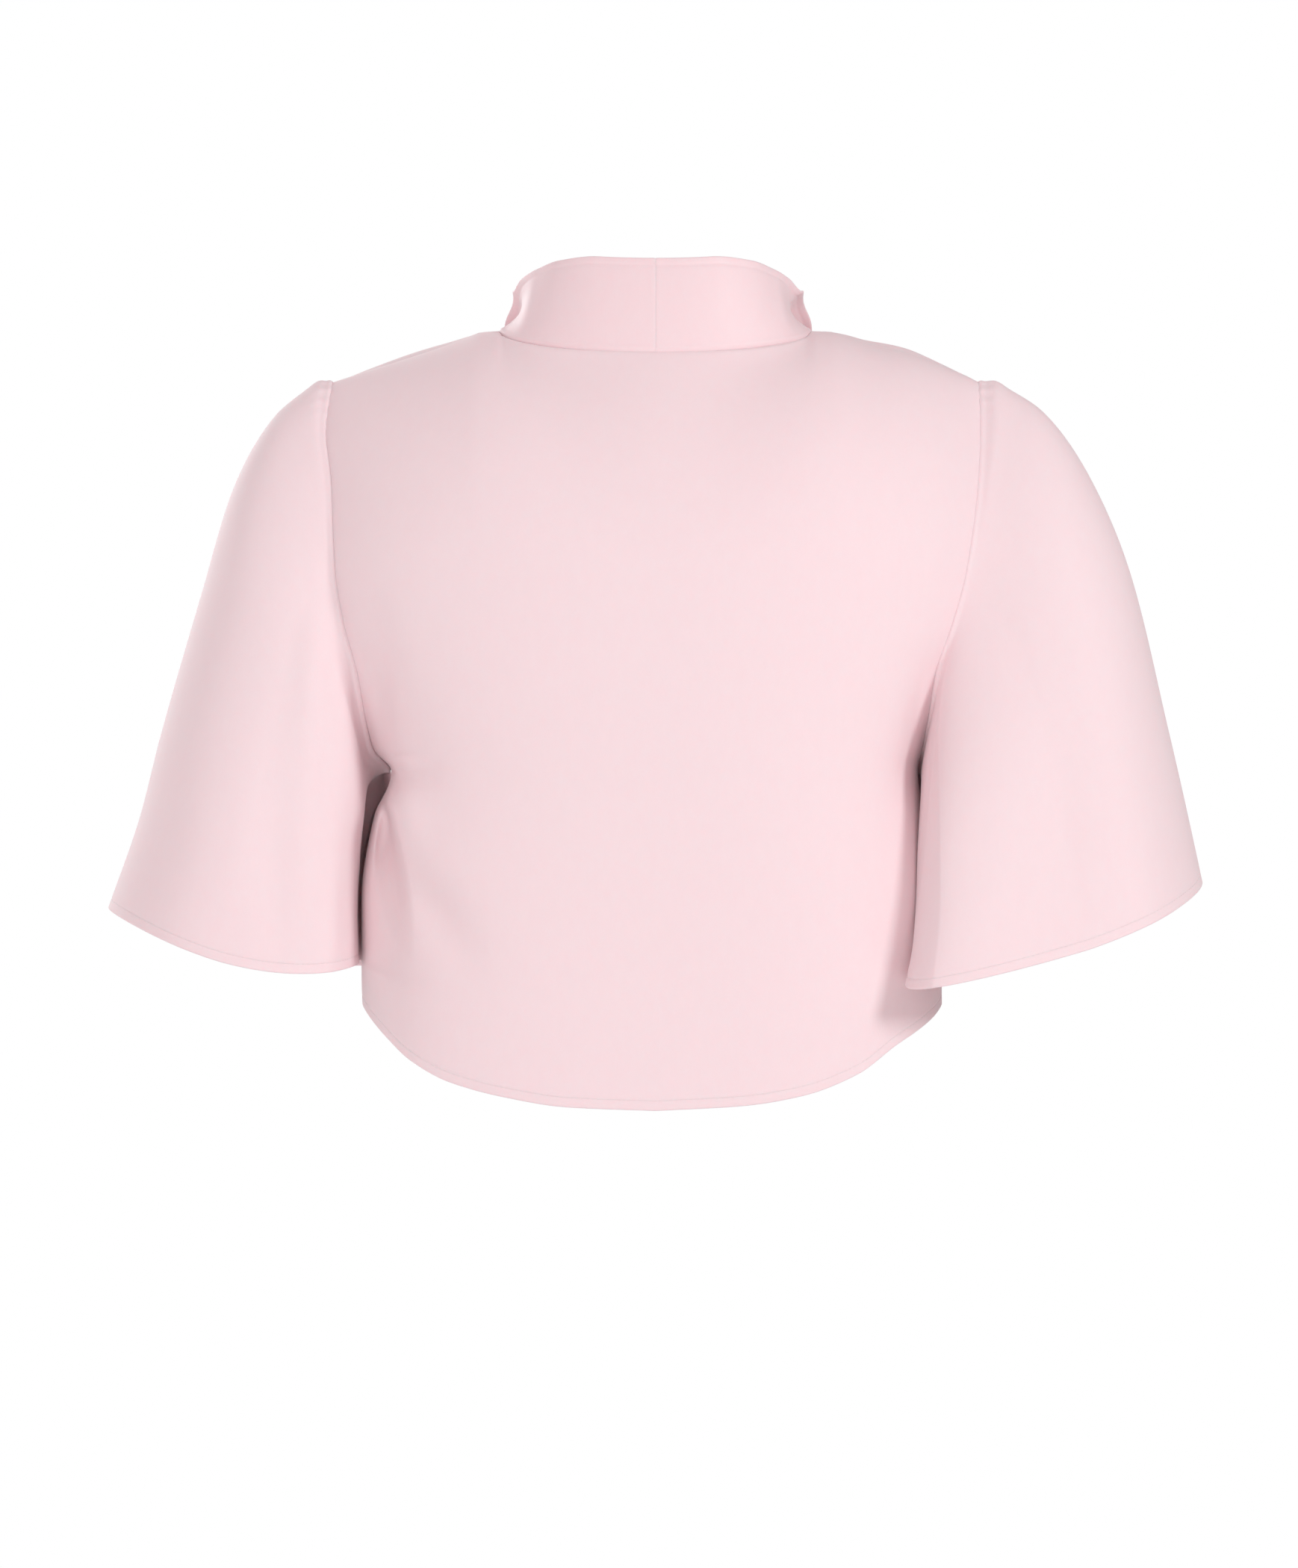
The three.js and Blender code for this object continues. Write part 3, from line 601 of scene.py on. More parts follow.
def cloth(name, points, thickness, round_about=False, flip=False):
    """A closed thin cloth through a grid of points, in millimetres, as a Blender object."""
    rows, columns = points.shape[:2]
    way = -1 if flip else 1
    out = way * facing(points, round_about)
    inner = points - out * thickness[..., None]
    count = rows * columns
    index = np.arange(count).reshape(rows, columns)
    faces = []

    def add_faces(quads):
        quads = quads.reshape(-1, 4)
        faces.append(quads[:, ::-1] if flip else quads)

    ahead = np.roll(index, -1, 1) if round_about else index[:, 1:]
    here = index if round_about else index[:, :-1]
    skin = np.stack([here[:-1], ahead[:-1], ahead[1:], here[1:]], -1)
    add_faces(skin)
    add_faces(skin[..., ::-1] + count)
    vertices = [points.reshape(-1, 3), inner.reshape(-1, 3)]
    made = 2 * count
    if round_about:
        loops = [(index[0], index[1]), (index[-1][::-1], index[-2][::-1])]
    else:
        loop, inside = border(rows, columns)
        loops = [(index[tuple(loop.T)], index[tuple(inside.T)])]
    flat_outer, flat_inner = vertices
    for ring, next_ring in loops:
        outward = unit(flat_outer[ring] - flat_outer[next_ring])
        first = {"outer": ring, "inner": ring + count, "rim": made}
        rim = rim_strip(flat_outer[ring], flat_inner[ring], outward, first, add_faces)
        vertices.append(rim)
        made += len(rim)
    piece = new_piece(name, np.concatenate(vertices), np.concatenate(faces).tolist())
    area = flat_area(points, round_about)
    print(f"{name}: {len(piece.data.polygons)} faces, {area:.4f} square metres")
    return piece


def flat_area(points, round_about):
    """Area of one skin of the cloth, in square metres."""
    if round_about:
        points = np.concatenate([points, points[:, :1]], 1)
    one = np.cross(points[1:, :-1] - points[:-1, :-1], points[:-1, 1:] - points[:-1, :-1])
    two = np.cross(points[1:, :-1] - points[1:, 1:], points[:-1, 1:] - points[1:, 1:])
    total = np.linalg.norm(one, axis=-1).sum() + np.linalg.norm(two, axis=-1).sum()
    return total / 2 * MM * MM


# %% [markdown]
# Folds are placed as in the photograph of the back: each is a path over the cloth
# seen from behind, with a width and a height, fading in and out along its length. A height
# below zero is a trough. A cloth simulation would make folds too, but not these ones.


# %% Folds along a path
SEAM_QUIET = 0.045
FOLD_FADE = 1.5


def fold(x, z, path, width, height, lean=1.0, outer_width=None):
    """Height of one fold at each point: soft across, and fading at both ends.

    A lean below 1 puts the highest place nearer to the start of the path. The outer width
    is that of the flank on the side where x is greater.
    """
    path = np.array(path, float)
    lengths = np.linalg.norm(np.diff(path, axis=0), axis=1)
    starts = np.concatenate([[0], np.cumsum(lengths)])
    nearest = np.full(x.shape, np.inf)
    place, line = np.zeros(x.shape), np.zeros(x.shape)
    for (x0, z0), (x1, z1), start, length in zip(path, path[1:], starts, lengths):
        t = clamp(((x - x0) * (x1 - x0) + (z - z0) * (z1 - z0)) / length**2)
        away = np.hypot(x - mix(x0, x1, t), z - mix(z0, z1, t))
        closer = away < nearest
        nearest = np.where(closer, away, nearest)
        place = np.where(closer, start + t * length, place)
        line = np.where(closer, mix(x0, x1, t), line)
    taper = np.sin(np.pi * clamp(place / starts[-1]) ** lean) ** FOLD_FADE
    width = np.where(x > line, width if outer_width is None else outer_width, width)
    return height * taper * bell(nearest, width)


def quiet_at_seams(*shares_from_seams):
    """Keeps the folds out of the seams that two pieces have in common."""
    return np.prod([clamp(share / SEAM_QUIET) for share in shares_from_seams], axis=0)


def folds(x, z, rows):
    return sum(fold(x, z, *row) for row in rows)


def flutes(turn, along, rows):
    """Folds that run along a sleeve at a turn that drifts, quiet at the armhole seam."""
    total = np.zeros(turn.shape)
    for from_turn, to_turn, start, end, width, height in rows:
        t = clamp((along - start) / (end - start))
        swell = np.sin(np.pi * t) ** 2
        total += height * swell * bell(turn - mix(from_turn, to_turn, t), width)
    return total * clamp(along / SEAM_QUIET)


# %% [markdown]
# A seam is a fine groove with a low roll of cloth beside it, and the sleeve has small
# puckers where it is eased in. A turned hem is thicker on the inside, and its stitches pull
# a shallow groove.

# %% Seams and hems as heights
SEAM_GROOVE = 0.25
SEAM_GROOVE_WIDTH = 1.4
SEAM_ROLL = 0.5
SEAM_ROLL_WIDTH = 1.5
SEAM_ROLL_AWAY = 1.2
HEM_WIDTH = 6.0
HEM_STEP = 0.8
HEM_LAYER = 0.7
STITCH_LEVEL = 5.0
STITCH_GROOVE = 0.22
STITCH_GROOVE_WIDTH = 0.9


def seam_height(distance, roll=SEAM_ROLL):
    groove = -SEAM_GROOVE * bell(distance, SEAM_GROOVE_WIDTH)
    return groove + roll * bell(distance - SEAM_ROLL_AWAY * SEAM_ROLL_WIDTH, SEAM_ROLL_WIDTH)


def hem_height(distance):
    return -STITCH_GROOVE * bell(distance - STITCH_LEVEL, STITCH_GROOVE_WIDTH)


def hem_thickness(distance, wall):
    turned = clamp((HEM_WIDTH - distance) / HEM_STEP + 0.5)
    return wall + HEM_LAYER * turned


CLOTH_WALL = 0.9
COLLAR_WALL = 1.8


# %% [markdown]
# Seams and hems are a millimetre wide and the folds are centimetres wide. Rows and columns
# of points are therefore close together near the edges and wider apart in between. That
# keeps each piece light without losing its sewing.

# %% Spacing that is fine near the edges
def spaced(length, edge_step, step, edge=12.0, tail=None):
    """Shares from 0 to 1 over a length, closer together near its ends."""
    tail = edge if tail is None else tail
    first = np.arange(0, edge, edge_step)
    last = length - np.arange(0, tail, edge_step)[::-1]
    middle = np.linspace(edge, length - tail, max(2, int((length - edge - tail) / step)))
    return np.unique(np.concatenate([first, middle, last])) / length


def shares_by_arc(surface_row, count=2001):
    """Gives the function from walked share to the surface's own share, along one row."""
    own = np.linspace(0, 1, count)
    arc = walked(surface_row(own)[None], 1)[0]
    return lambda share: np.interp(share, arc / arc[-1], own), arc[-1]


# %% [markdown]
# The hems are stitched through by machine, five millimetres up, in thread of the cloth's
# own colour. Each stitch is a small bead lying in the groove that it pulls.

# %% Stitches along a hem
STITCH_LENGTH = 2.4
STITCH_PITCH = 3.0
STITCH_RADIUS = 0.2
STITCH_NEARBY = 0.5
BEAD_SIDES = 6
# Places along half a bead, and the share of the radius there
BEAD_PROFILE = ((-1, 0.3), (-0.8, 0.85), (0, 1), (0.8, 0.85), (1, 0.3))


def at_distance(values, distance, level):
    """Reads a grid of vectors at one distance from the hem, column by column."""
    if distance[0, 0] > distance[-1, 0]:
        values, distance = values[::-1], distance[::-1]

    def at_column(column):
        return [np.interp(level, distance[:, column], values[:, column, k]) for k in range(3)]

    return np.array([at_column(column) for column in range(values.shape[1])])


def bead_faces(beads):
    """Faces of a number of beads, each with a ring of vertices for each profile row."""
    sides = []
    for ring in range(len(BEAD_PROFILE) - 1):
        for k in range(BEAD_SIDES):
            here, beside = ring * BEAD_SIDES + k, ring * BEAD_SIDES + (k + 1) % BEAD_SIDES
            sides.append((here, beside, beside + BEAD_SIDES, here + BEAD_SIDES))
    size = len(BEAD_PROFILE) * BEAD_SIDES
    caps = [tuple(range(BEAD_SIDES))[::-1], tuple(range(size - BEAD_SIDES, size))]
    return [tuple(i + bead * size for i in face) for bead in range(beads) for face in sides + caps]


def stitches(name, points, distance, way, round_about=False):
    """One mesh of all the stitches along a hem."""
    line = at_distance(points, distance, STITCH_LEVEL)
    out = unit(at_distance(way * facing(points, round_about), distance, STITCH_LEVEL))
    if round_about:
        line, out = np.concatenate([line, line[:1]]), np.concatenate([out, out[:1]])
    arc = walked(line[None], 1)[0]
    places = np.arange(STITCH_PITCH, arc[-1] - STITCH_LENGTH, STITCH_PITCH)

    def at(place, values):
        return np.stack([np.interp(place, arc, values[:, k]) for k in range(3)], -1)

    centre, lift = at(places, line), unit(at(places, out))
    ahead = unit(at(places + STITCH_NEARBY, line) - at(places - STITCH_NEARBY, line))
    across = np.cross(ahead, lift)
    angles = 2 * np.pi * np.arange(BEAD_SIDES) / BEAD_SIDES
    spoke = np.cos(angles)[:, None, None] * lift + np.sin(angles)[:, None, None] * across
    rings = []
    for along, share in BEAD_PROFILE:
        rings.append(centre + along * STITCH_LENGTH / 2 * ahead + share * STITCH_RADIUS * spoke)
    vertices = np.array(rings).transpose(2, 0, 1, 3).reshape(-1, 3)
    print(f"{name}: {len(places)} stitches")
    return new_piece(name, vertices, bead_faces(len(places)))


# %% [markdown]
# The back is one piece with no seam at its centre. Its folds lie beside the armholes and
# below the underarms, where the cloth is slack. The largest is at the left: a fold that is
# pushed straight out behind, with a hollow beside it.

# %% Make the back
# The height at which the columns are shared out over the width, also as a share of the way up
SPREAD_LEVEL = -320
SPREAD_CLIMB = (SPREAD_LEVEL - SIDE_HEM) / (SHOULDER_TIP - SIDE_HEM)
BACK_LENGTH = 430
BACK_COLUMNS = {"edge_step": 1.2, "step": 2.6}
BACK_ROWS = {"edge_step": 0.9, "step": 2.5}
BACK_SEAM_SHARE = 0.4
# Path over the cloth, width and height, then where it is highest and its outer width
back_folds = [
    ([(168, -150), (156, -262)], 10, -4.5),
    ([(164, -282), (142, -330), (114, -364), (92, -396)], 15, -5, 0.8),
    ([(-160, -190), (-147, -290)], 9, -2.2),
    ([(-150, -275), (-146, -390)], 10, 2),
]
# The fold that the left underarm pushes straight out behind, and the hollow beside it
underarm_folds = [
    ([(160, -254), (157, -275), (153, -292), (147, -331), (138, -366)], 17, 11, 0.36, 2.6),
    ([(166, -258), (161, -285), (158, -310), (153, -340), (145, -380)], 4, -26, 0.42, 10),
]


def make_back():
    to_share, width = shares_by_arc(lambda s: back_surface(1 - 2 * s, np.full_like(s, SPREAD_CLIMB)))
    shares = 1 - 2 * to_share(spaced(width, **BACK_COLUMNS))
    neck = NECK_HALF / SHOULDER_HALF
    for corner in (neck, -neck):
        shares[np.argmin(np.abs(shares - corner))] = corner
    share, climb = np.meshgrid(shares, spaced(BACK_LENGTH, **BACK_ROWS))
    points = back_surface(share, climb)
    x, z = points[..., 0], points[..., 2]
    points[..., 1] += folds(x, z, underarm_folds) * quiet_at_seams(1 - np.abs(share))
    from_hem = walked(points, 0)
    from_top = walked(points, 0, backward=True)
    from_left, from_right = walked(points, 1), walked(points, 1, backward=True)
    height = folds(x, z, back_folds) * quiet_at_seams(1 - np.abs(share), 1 - climb)
    seams = seam_height(from_left, 0) + seam_height(from_right, 0) + seam_height(from_top, 0)
    height += BACK_SEAM_SHARE * seams
    height += hem_height(from_hem)
    points = raised(points, height, False, False)
    wide, thickness = points, hem_thickness(from_hem, CLOTH_WALL)
    for axis, at_end in ((1, False), (1, True), (0, True)):
        wide, thickness = run_under(wide, thickness, axis, at_end, 1)
    return cloth("back_cloth", wide, thickness), stitches("back_stitches", points, from_hem, 1)


back_piece, back_stitches = make_back()


# %% [markdown]
# A front runs from its open edge to the side seam and up to the shoulder seam. Nothing of
# it shows in the photograph, so it is plain, with three soft folds like those of the back.

# %% Make the fronts
FRONT_WIDTH = 210
FRONT_LENGTH = 400
FRONT_COLUMNS = {"edge_step": 1.2, "step": 2.8}
FRONT_ROWS = {"edge_step": 0.9, "step": 2.8}
FRONT_ROLL = 0.1
front_folds = {
    "left": [
        ([(156, -262), (116, -372)], 11, 2.6),
        ([(165, -100), (138, -215)], 11, -2.6),
        ([(132, -210), (140, -440)], 12, -2.2),
    ],
    "right": [
        ([(152, -258), (120, -350)], 12, 2.4),
        ([(163, -110), (142, -205)], 10, -2.4),
        ([(124, -225), (130, -440)], 11, 2),
    ],
}


def make_front(side):
    to_share, _ = shares_by_arc(lambda s: front_surface(side, s, np.full_like(s, SPREAD_CLIMB)))
    shares = to_share(spaced(FRONT_WIDTH, **FRONT_COLUMNS))
    share, climb = np.meshgrid(shares, spaced(FRONT_LENGTH, **FRONT_ROWS))
    points = front_surface(side, share, climb)
    x, z = points[..., 0], points[..., 2]
    from_hem = walked(points, 0)
    from_top = walked(points, 0, backward=True)
    from_side = walked(points, 1, backward=True)
    height = folds(side * x, z, front_folds[side_name(side)]) * quiet_at_seams(1 - share, 1 - climb)
    height += seam_height(from_side, FRONT_ROLL) + seam_height(from_top, FRONT_ROLL)
    height += hem_height(from_hem)
    points = raised(points, height, False, side < 0)
    wide, thickness = run_under(points, hem_thickness(from_hem, CLOTH_WALL), 1, True, side)
    sewn = stitches(f"front_stitches_{side_name(side)}", points, from_hem, side)
    return cloth(f"front_cloth_{side_name(side)}", wide, thickness, flip=side < 0), sewn


front_pieces = {side: make_front(side) for side in (1, -1)}

# %% [markdown]
# The sleeves are set in with a soft roll and a lip outside the seam. Below, the wide cloth
# hangs in shallow flutes: the paths are the ones that show from behind, and the front of
# each sleeve gets similar ones. The right sleeve's inner side also folds out over the back.

# %% Make the sleeves
SLEEVE_LENGTH = 350
SLEEVE_COLUMNS = 320
SLEEVE_ROWS = {"edge_step": 1.0, "step": 2.8, "edge": 14}
SLEEVE_ROLL = 0.6
SLEEVE_LIP = 1.0
SLEEVE_LIP_WIDTH = 2.2
# From turn, to turn, from along, to along, width in turns, height
sleeve_folds = {
    "left": [
        (0.27, 0.295, 0, 0.5, 0.022, 2.4),
        (0.36, 0.385, 0.25, 1.5, 0.026, 2.6),
        (0.255, 0.32, 0.3, 1.2, 0.03, -3.2),
        (0.19, 0.2, 0.4, 1.6, 0.045, 2.2),
        (0.6, 0.63, 0.2, 1.5, 0.032, 3),
        (0.68, 0.71, 0.3, 1.5, 0.034, -3.6),
        (0.79, 0.81, 0.35, 1.5, 0.04, 2.8),
    ],
    "right": [
        (0.235, 0.285, 0.3, 1.25, 0.032, -3),
        (0.17, 0.18, 0.35, 1.6, 0.045, 2),
        (0.61, 0.65, 0.25, 1.5, 0.034, 3.2),
        (0.7, 0.73, 0.35, 1.5, 0.034, -3.2),
        (0.81, 0.82, 0.3, 1.5, 0.042, 2.6),
    ],
}
# The right sleeve's inner side stands off the back in a sharp fold, cut off at its edge
inner_fold = table(
    "along push edge",
    (0, 0, 0.3),
    (0.1, 4, 0.35),
    (0.28, 9, 0.366),
    (0.43, 13, 0.372),
    (0.54, 15, 0.38),
    (0.66, 16, 0.394),
    (0.8, 17, 0.408),
    (1, 17, 0.418),
)
INNER_FOLD_START = 0.2
INNER_FOLD_CREST = 0.355
INNER_FOLD_DROP = 0.016
INNER_FOLD_STRIP = 0.35
INNER_FOLD_LEAST = 0.004


def inner_fold_push(turn, along):
    """How far the inner side of the right sleeve stands off behind, in millimetres."""
    push = read(inner_fold, "along", "push", along)
    edge = read(inner_fold, "along", "edge", along)
    crest = np.minimum(INNER_FOLD_CREST, edge - INNER_FOLD_LEAST)
    rise = smooth((turn - INNER_FOLD_START) / (crest - INNER_FOLD_START))
    strip = mix(1, INNER_FOLD_STRIP, clamp((turn - crest) / (edge - crest)))
    return push * rise * strip * (1 - smooth((turn - edge) / INNER_FOLD_DROP))


# Puckers in the sleeve head: length and height of one, how far they lie from the seam and
# reach down, and how far they go round from the shoulder tip, in turns
PUCKER_LENGTH = 9.0
PUCKER_HEIGHT = 0.35
PUCKER_AWAY = 3
PUCKER_REACH = 7.0
PUCKER_TURNS = 0.13
# More columns where the inner fold is: shares of the columns, and the turns that they reach
TURN_SPACING = ((0, 0.22, 0.52, 1), (0, 0.3, 0.46, 1))


def make_sleeve(side):
    turns = np.interp(np.linspace(0, 1, SLEEVE_COLUMNS, endpoint=False), *TURN_SPACING)
    turn, along = np.meshgrid(turns, spaced(SLEEVE_LENGTH, **SLEEVE_ROWS))
    points = sleeve_surface(side, turn, along)
    if side < 0:
        points[..., 1] += inner_fold_push(turn, along)
    from_seam = walked(points, 0)
    from_hem = walked(points, 0, backward=True)
    height = flutes(turn, along, sleeve_folds[side_name(side)])
    round_seam = walked(np.concatenate([points[:1], points[:1, :1]], 1), 1)[0, :-1]
    near_tip = bell(np.minimum(turn, 1 - turn), PUCKER_TURNS)
    waves = np.sin(2 * np.pi * round_seam / PUCKER_LENGTH)
    pucker = waves * bell(from_seam - PUCKER_AWAY, PUCKER_REACH)
    height += PUCKER_HEIGHT * pucker * near_tip
    lip = SLEEVE_LIP * bell(from_seam, SLEEVE_LIP_WIDTH)
    height += seam_height(from_seam, SLEEVE_ROLL) + lip + hem_height(from_hem)
    points = raised(points, height, True, side > 0)
    thickness = hem_thickness(from_hem, CLOTH_WALL)
    sewn = stitches(f"sleeve_stitches_{side_name(side)}", points, from_hem, -side, round_about=True)
    name = f"sleeve_cloth_{side_name(side)}"
    return cloth(name, points, thickness, round_about=True, flip=side > 0), sewn


sleeve_pieces = {side: make_sleeve(side) for side in (1, -1)}


# %% [markdown]
# Each collar half is double cloth, so its wall is thicker. The halves meet at the centre
# back, where the seam shows as a fine line, and a shallow groove follows the free edge.

# %% Make the collar
COLLAR_BACK_LENGTH = 150
COLLAR_FRONT_LENGTH = 410
COLLAR_HEIGHT = 58
COLLAR_BACK_COLUMNS = {"edge_step": 1.0, "step": 2.0, "edge": 6, "tail": 2}
COLLAR_FRONT_COLUMNS = {"edge_step": 2.0, "step": 2.6}
COLLAR_ROWS = {"edge_step": 0.8, "step": 1.6, "edge": 6}
CENTRE_SEAM_SHARE = 0.5
CENTRE_ROLL = 0.2
NECK_SEAM_ROLL = 0.3
EDGE_GROOVE = 0.3
EDGE_GROOVE_AWAY = 4
EDGE_GROOVE_WIDTH = 1.2


def make_collar(side):
    on_back = spaced(COLLAR_BACK_LENGTH, **COLLAR_BACK_COLUMNS)
    on_front = 1 + spaced(COLLAR_FRONT_LENGTH, **COLLAR_FRONT_COLUMNS)[1:]
    ats = np.concatenate([on_back, on_front])
    at, rise = np.meshgrid(ats, spaced(COLLAR_HEIGHT, **COLLAR_ROWS))
    points = collar_surface(side, at, rise)
    from_centre = walked(points, 1)
    from_seam = walked(points, 0)
    from_edge = walked(points, 0, backward=True)
    height = CENTRE_SEAM_SHARE * seam_height(from_centre, CENTRE_ROLL)
    height += seam_height(from_seam, NECK_SEAM_ROLL)
    height -= EDGE_GROOVE * bell(from_edge - EDGE_GROOVE_AWAY, EDGE_GROOVE_WIDTH)
    points = raised(points, height, False, side > 0)
    wide, thickness = run_under(points, np.full(at.shape, COLLAR_WALL), 0, False, -side)
    return cloth(f"collar_cloth_{side_name(side)}", wide, thickness, flip=side > 0)


collar_pieces = {side: make_collar(side) for side in (1, -1)}

# %% [markdown]
# Satin crepe is matt silk-like cloth: a pale pink with a soft broad gleam, a fine pebbled
# grain, and some light that passes through it and makes its shade pinker. The grain and a
# slower drift are noise, mixed by plain maths. A small class wraps a socket, so that Python
# expressions add the Math nodes.


# %% Shader maths
class Socket:
    """A shader socket that can be used in plain arithmetic."""

    def __init__(self, board, socket):
        self.board = board
        self.socket = socket

    def _math(self, operation, other):
        return self.board.node("ShaderNodeMath", {"operation": operation}, {0: self, 1: other})

    def __add__(self, other):
        return self._math("ADD", other)

    def __mul__(self, other):
        return self._math("MULTIPLY", other)

    __radd__ = __add__
    __rmul__ = __mul__


class Board:
    """The nodes of a material or a world, added by one method."""

    def __init__(self, data, main):
        data.use_nodes = True
        self.data = data
        self.nodes = data.node_tree.nodes
        self.links = data.node_tree.links
        self.main = self.nodes[main]

    def node(self, kind, settings, inputs, output=0):
        """Adds a node: its settings first, then the values or links of its sockets."""
        made = self.nodes.new(kind)
        for key, value in settings.items():
            setattr(made, key, value)
        for key, value in inputs.items():
            self.feed(made.inputs[key], value)
        return Socket(self, made.outputs[output])

    def feed(self, socket, value):
        if isinstance(value, Socket):
            self.links.new(value.socket, socket)
        else:
            socket.default_value = value

    def set(self, inputs):
        """Gives the main node's sockets their values or links."""
        for key, value in inputs.items():
            self.feed(self.main.inputs[key], value)


def paint(name):
    """A material with a shader and nothing else yet."""
    return Board(bpy.data.materials.new(name), "Principled BSDF")


# %% The crepe
# The grain is drawn out along the height, and noise scales count waves to the metre
YARN_STRETCH = (1.0, 1.0, 0.45)
GRAIN = {"Scale": 1500.0, "Detail": 2.0}
DRIFT = {"Scale": 210.0, "Detail": 3.0}
GRAIN_SHARE = 0.5
GRAIN_HEIGHT_SHARE = 0.6
ROUGHNESS_SPREAD = 0.12
CREPE_BUMP = {"Strength": 0.12, "Distance": 0.0004}
# What is the same all over the cloth: its gleam, its nap and the light that passes through
CREPE_EVEN = {
    "Specular IOR Level": 0.25,
    "Sheen Weight": 0.25,
    "Sheen Roughness": 0.4,
    "Sheen Tint": (1.0, 0.93, 0.93, 1),
    "Subsurface Weight": 0.4,
    "Subsurface Radius": (1.0, 0.5, 0.55),
    "Subsurface Scale": 0.0012,
}


def crepe(name, colour, deeper, roughness):
    board = paint(name)
    place = board.node("ShaderNodeTexCoord", {}, {}, "Object")
    stretching = {"Vector": place, "Scale": YARN_STRETCH}
    stretch = board.node("ShaderNodeMapping", {"vector_type": "POINT"}, stretching)
    grain = board.node("ShaderNodeTexNoise", {}, {"Vector": stretch, **GRAIN})
    drift = board.node("ShaderNodeTexNoise", {}, {"Vector": stretch, **DRIFT})
    tone = drift * (1 - GRAIN_SHARE) + grain * GRAIN_SHARE
    colours = {"Factor": tone, "A": (*deeper, 1), "B": (*colour, 1)}
    base = board.node("ShaderNodeMix", {"data_type": "RGBA"}, colours, "Result")
    height = grain * GRAIN_HEIGHT_SHARE + drift * (1 - GRAIN_HEIGHT_SHARE)
    bump = board.node("ShaderNodeBump", {}, {"Height": height, **CREPE_BUMP})
    rough = tone * ROUGHNESS_SPREAD + (roughness - ROUGHNESS_SPREAD / 2)
    board.set({"Base Color": base, "Roughness": rough, "Normal": bump})
    board.set(CREPE_EVEN)
    return board.data


# Name, the lighter and the deeper pink, and how rough it is
body_crepe = crepe("body_crepe", (0.885, 0.712, 0.737), (0.862, 0.672, 0.7), 0.66)
collar_crepe = crepe("collar_crepe", (0.88, 0.692, 0.718), (0.858, 0.65, 0.68), 0.5)
print("finishes", body_crepe.name, collar_crepe.name)

# %% [markdown]
# Each cloth stands for its plain wall in the imported model and moves with it. Its stitches
# ride with it.

# %% Dress the model
# Cloth, stitches, the wall it stands for, finish, slot, then flat size and area in metres
sheets = [
    (back_piece, back_stitches, "back", body_crepe, "crepe", (0.52, 0.47), 0.2),
    (*front_pieces[1], "front_left", body_crepe, "crepe", (0.24, 0.42), 0.07),
    (*front_pieces[-1], "front_right", body_crepe, "crepe", (0.24, 0.42), 0.07),
    (*sleeve_pieces[1], "sleeve_left", body_crepe, "crepe", (0.42, 0.36), 0.11),
    (*sleeve_pieces[-1], "sleeve_right", body_crepe, "crepe", (0.45, 0.36), 0.12),
    (collar_pieces[1], None, "collar_left", collar_crepe, "collar_crepe", (0.56, 0.08), 0.03),
    (collar_pieces[-1], None, "collar_right", collar_crepe, "collar_crepe", (0.56, 0.08), 0.03),
]
for piece, sewn, node, finish, slot, flat, area in sheets:
    piece.data.materials.append(finish)
    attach(piece, "root")
    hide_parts(node)
    if sewn:
        sewn.data.materials.append(finish)
        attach(sewn, "root")
print(len(sheets), "cloths dressed")

# %% [markdown]
# The photograph is a cut-out on white, with a fairly hard light from the upper right and
# soft light from everywhere else. Area lights give the first, a broad fill and a little
# light on the left sleeve. The surround is white to the camera and dimmer to the cloth. One
# more light, in front, is for a look at that side. Everything round the garment is placed
# and sized in metres.

# %% Floor, lights and camera
CAMERA_DISTANCE = 3.5
CAMERA_SIDE = 0.0038
CAMERA_LEVEL = -0.27
PHOTO_HEIGHT = 0.9345
SENSOR = 36.0
FLOOR_LEVEL = -1.4
FLOOR_RADIUS = 3.0
FLOOR_SIDES = 96
FLOOR_GREY = (0.85, 0.85, 0.85, 1)
# The shade inside a pink garment is pink, so the surround is warmer than the lamps
LAMP_TINT = (0.93, 1.0, 0.99)
SURROUND_TINT = (1.0, 0.9, 0.91, 1)
SURROUND_LIGHT = 0.49
WHITE = (1, 1, 1, 1)
BODY_MIDDLE = (0, 0, -0.25)
LEFT_SLEEVE = (0.2, 0, -0.15)
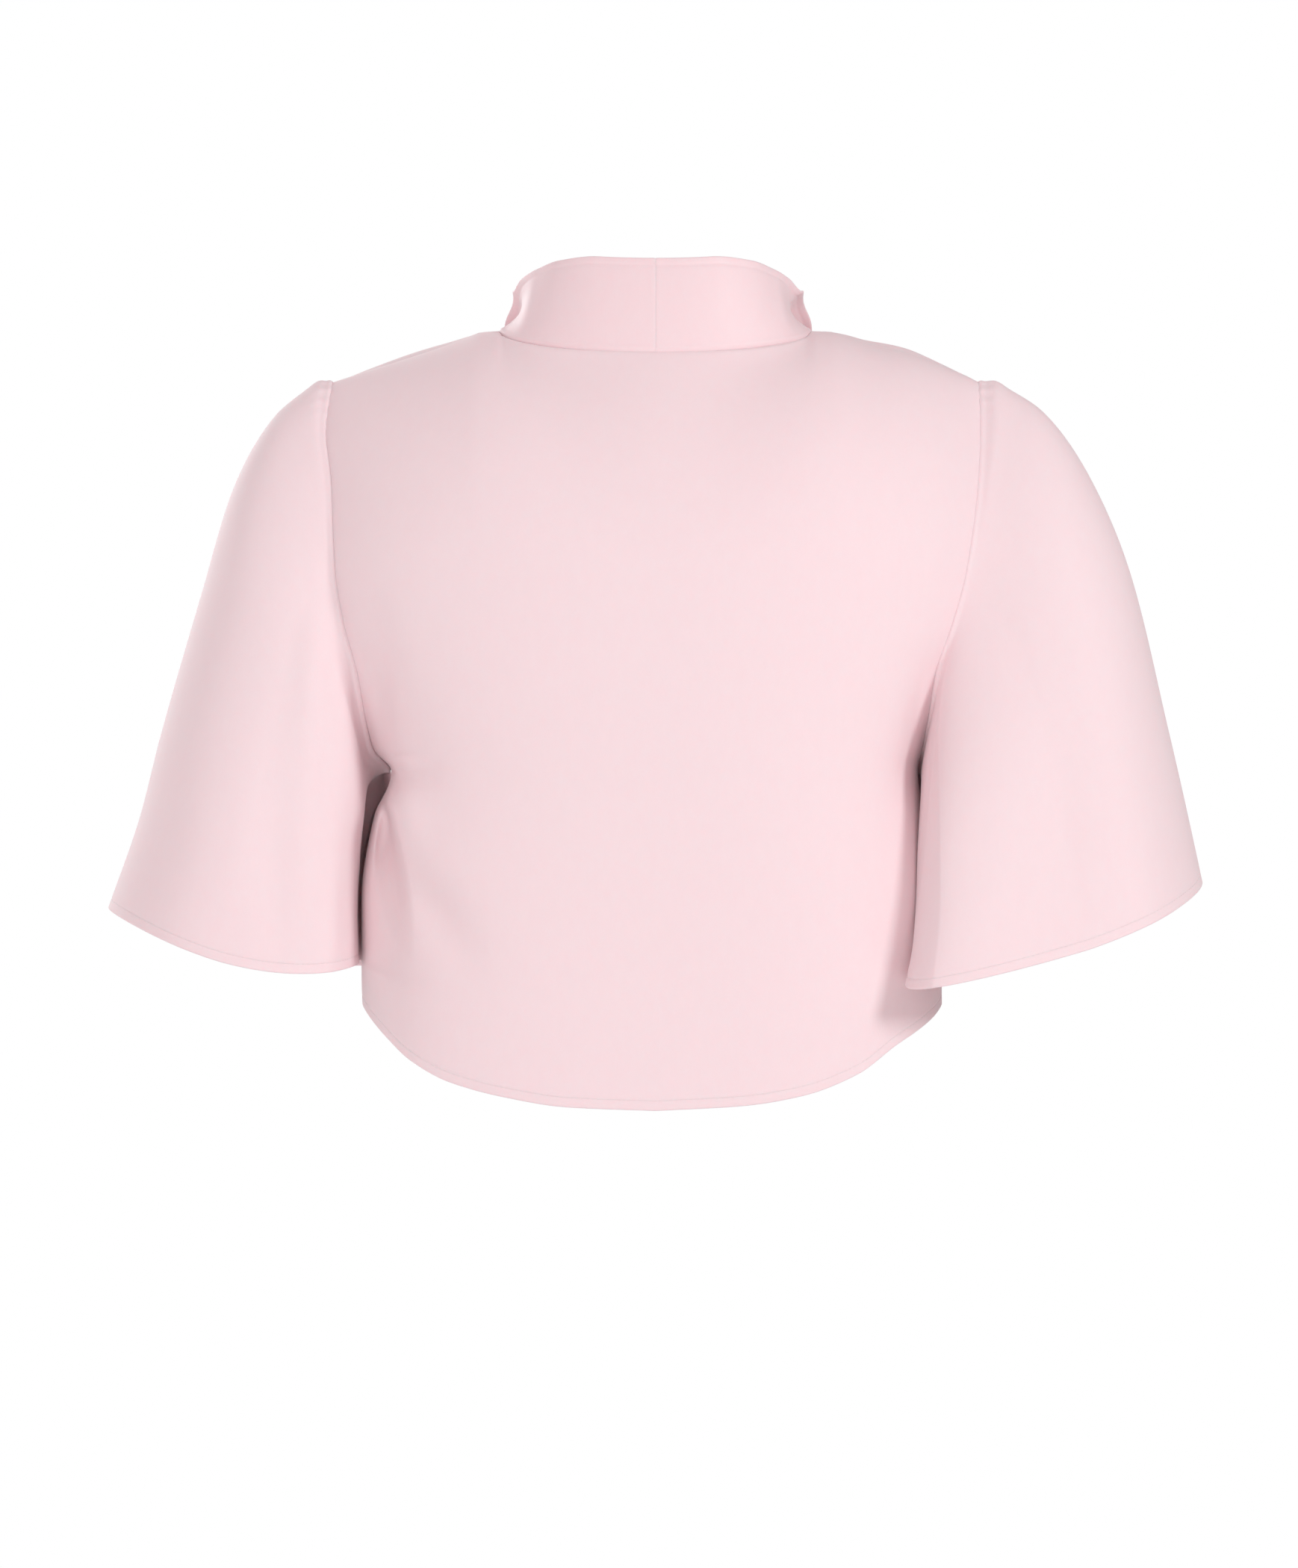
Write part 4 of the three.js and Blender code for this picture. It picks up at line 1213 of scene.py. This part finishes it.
# Name, place, what it is aimed at, size in metres and power in watts
lights = [
    ("key", (-2.55, 2.3, 1.25), BODY_MIDDLE, 0.8, 56),
    ("side", (3.1, -0.1, 0.4), LEFT_SLEEVE, 1.2, 14),
    ("fill", (0.9, 3.5, -0.7), BODY_MIDDLE, 2.6, 50),
    ("front_key", (1.8, -2.6, 1.0), BODY_MIDDLE, 1.8, 40),
]


def aim(thing, place, target):
    """Puts a light or the camera in place, looking at a point."""
    thing.location = place
    thing.rotation_euler = (Vector(target) - Vector(place)).to_track_quat("-Z", "Y").to_euler()


def soft_light(name, place, target, size, power):
    lamp = bpy.data.lights.new(name, "AREA")
    lamp.shape = "SQUARE"
    lamp.size = size
    lamp.energy = power
    lamp.color = LAMP_TINT
    thing = bpy.data.objects.new(name, lamp)
    bpy.context.scene.collection.objects.link(thing)
    aim(thing, place, target)


def floor():
    bpy.ops.mesh.primitive_circle_add(vertices=FLOOR_SIDES, radius=FLOOR_RADIUS, fill_type="NGON")
    ground = bpy.context.object
    ground.name = "floor"
    ground.location = (0, 0, FLOOR_LEVEL)
    board = paint("floor_paint")
    board.set({"Base Color": FLOOR_GREY, "Roughness": 0.9})
    ground.data.materials.append(board.data)


floor()
for light in lights:
    soft_light(*light)
print(len(lights), "lights")


def white_surround():
    """A world that looks white and lights the cloth with less than that."""
    board = Board(bpy.data.worlds.new("white_surround"), "Background")
    seen = board.node("ShaderNodeLightPath", {}, {}, "Is Camera Ray")
    colours = {"Factor": seen, "A": SURROUND_TINT, "B": WHITE}
    tint = board.node("ShaderNodeMix", {"data_type": "RGBA"}, colours, "Result")
    board.set({"Color": tint, "Strength": seen * (1 - SURROUND_LIGHT) + SURROUND_LIGHT})
    return board.data


bpy.context.scene.world = white_surround()
bpy.context.scene.view_settings.view_transform = "Standard"

# %% The camera, where the photograph was taken from
lens = bpy.data.cameras.new("camera")
lens.sensor_fit = "AUTO"
lens.sensor_width = SENSOR
lens.lens = SENSOR * CAMERA_DISTANCE / PHOTO_HEIGHT
camera = bpy.data.objects.new("camera", lens)
bpy.context.scene.collection.objects.link(camera)
aim(camera, (CAMERA_SIDE, CAMERA_DISTANCE, CAMERA_LEVEL), (CAMERA_SIDE, 0, CAMERA_LEVEL))
bpy.context.scene.camera = camera
print("camera", round(lens.lens, 1), "mm lens")

# %% Update the scene
bpy.context.view_layer.update()
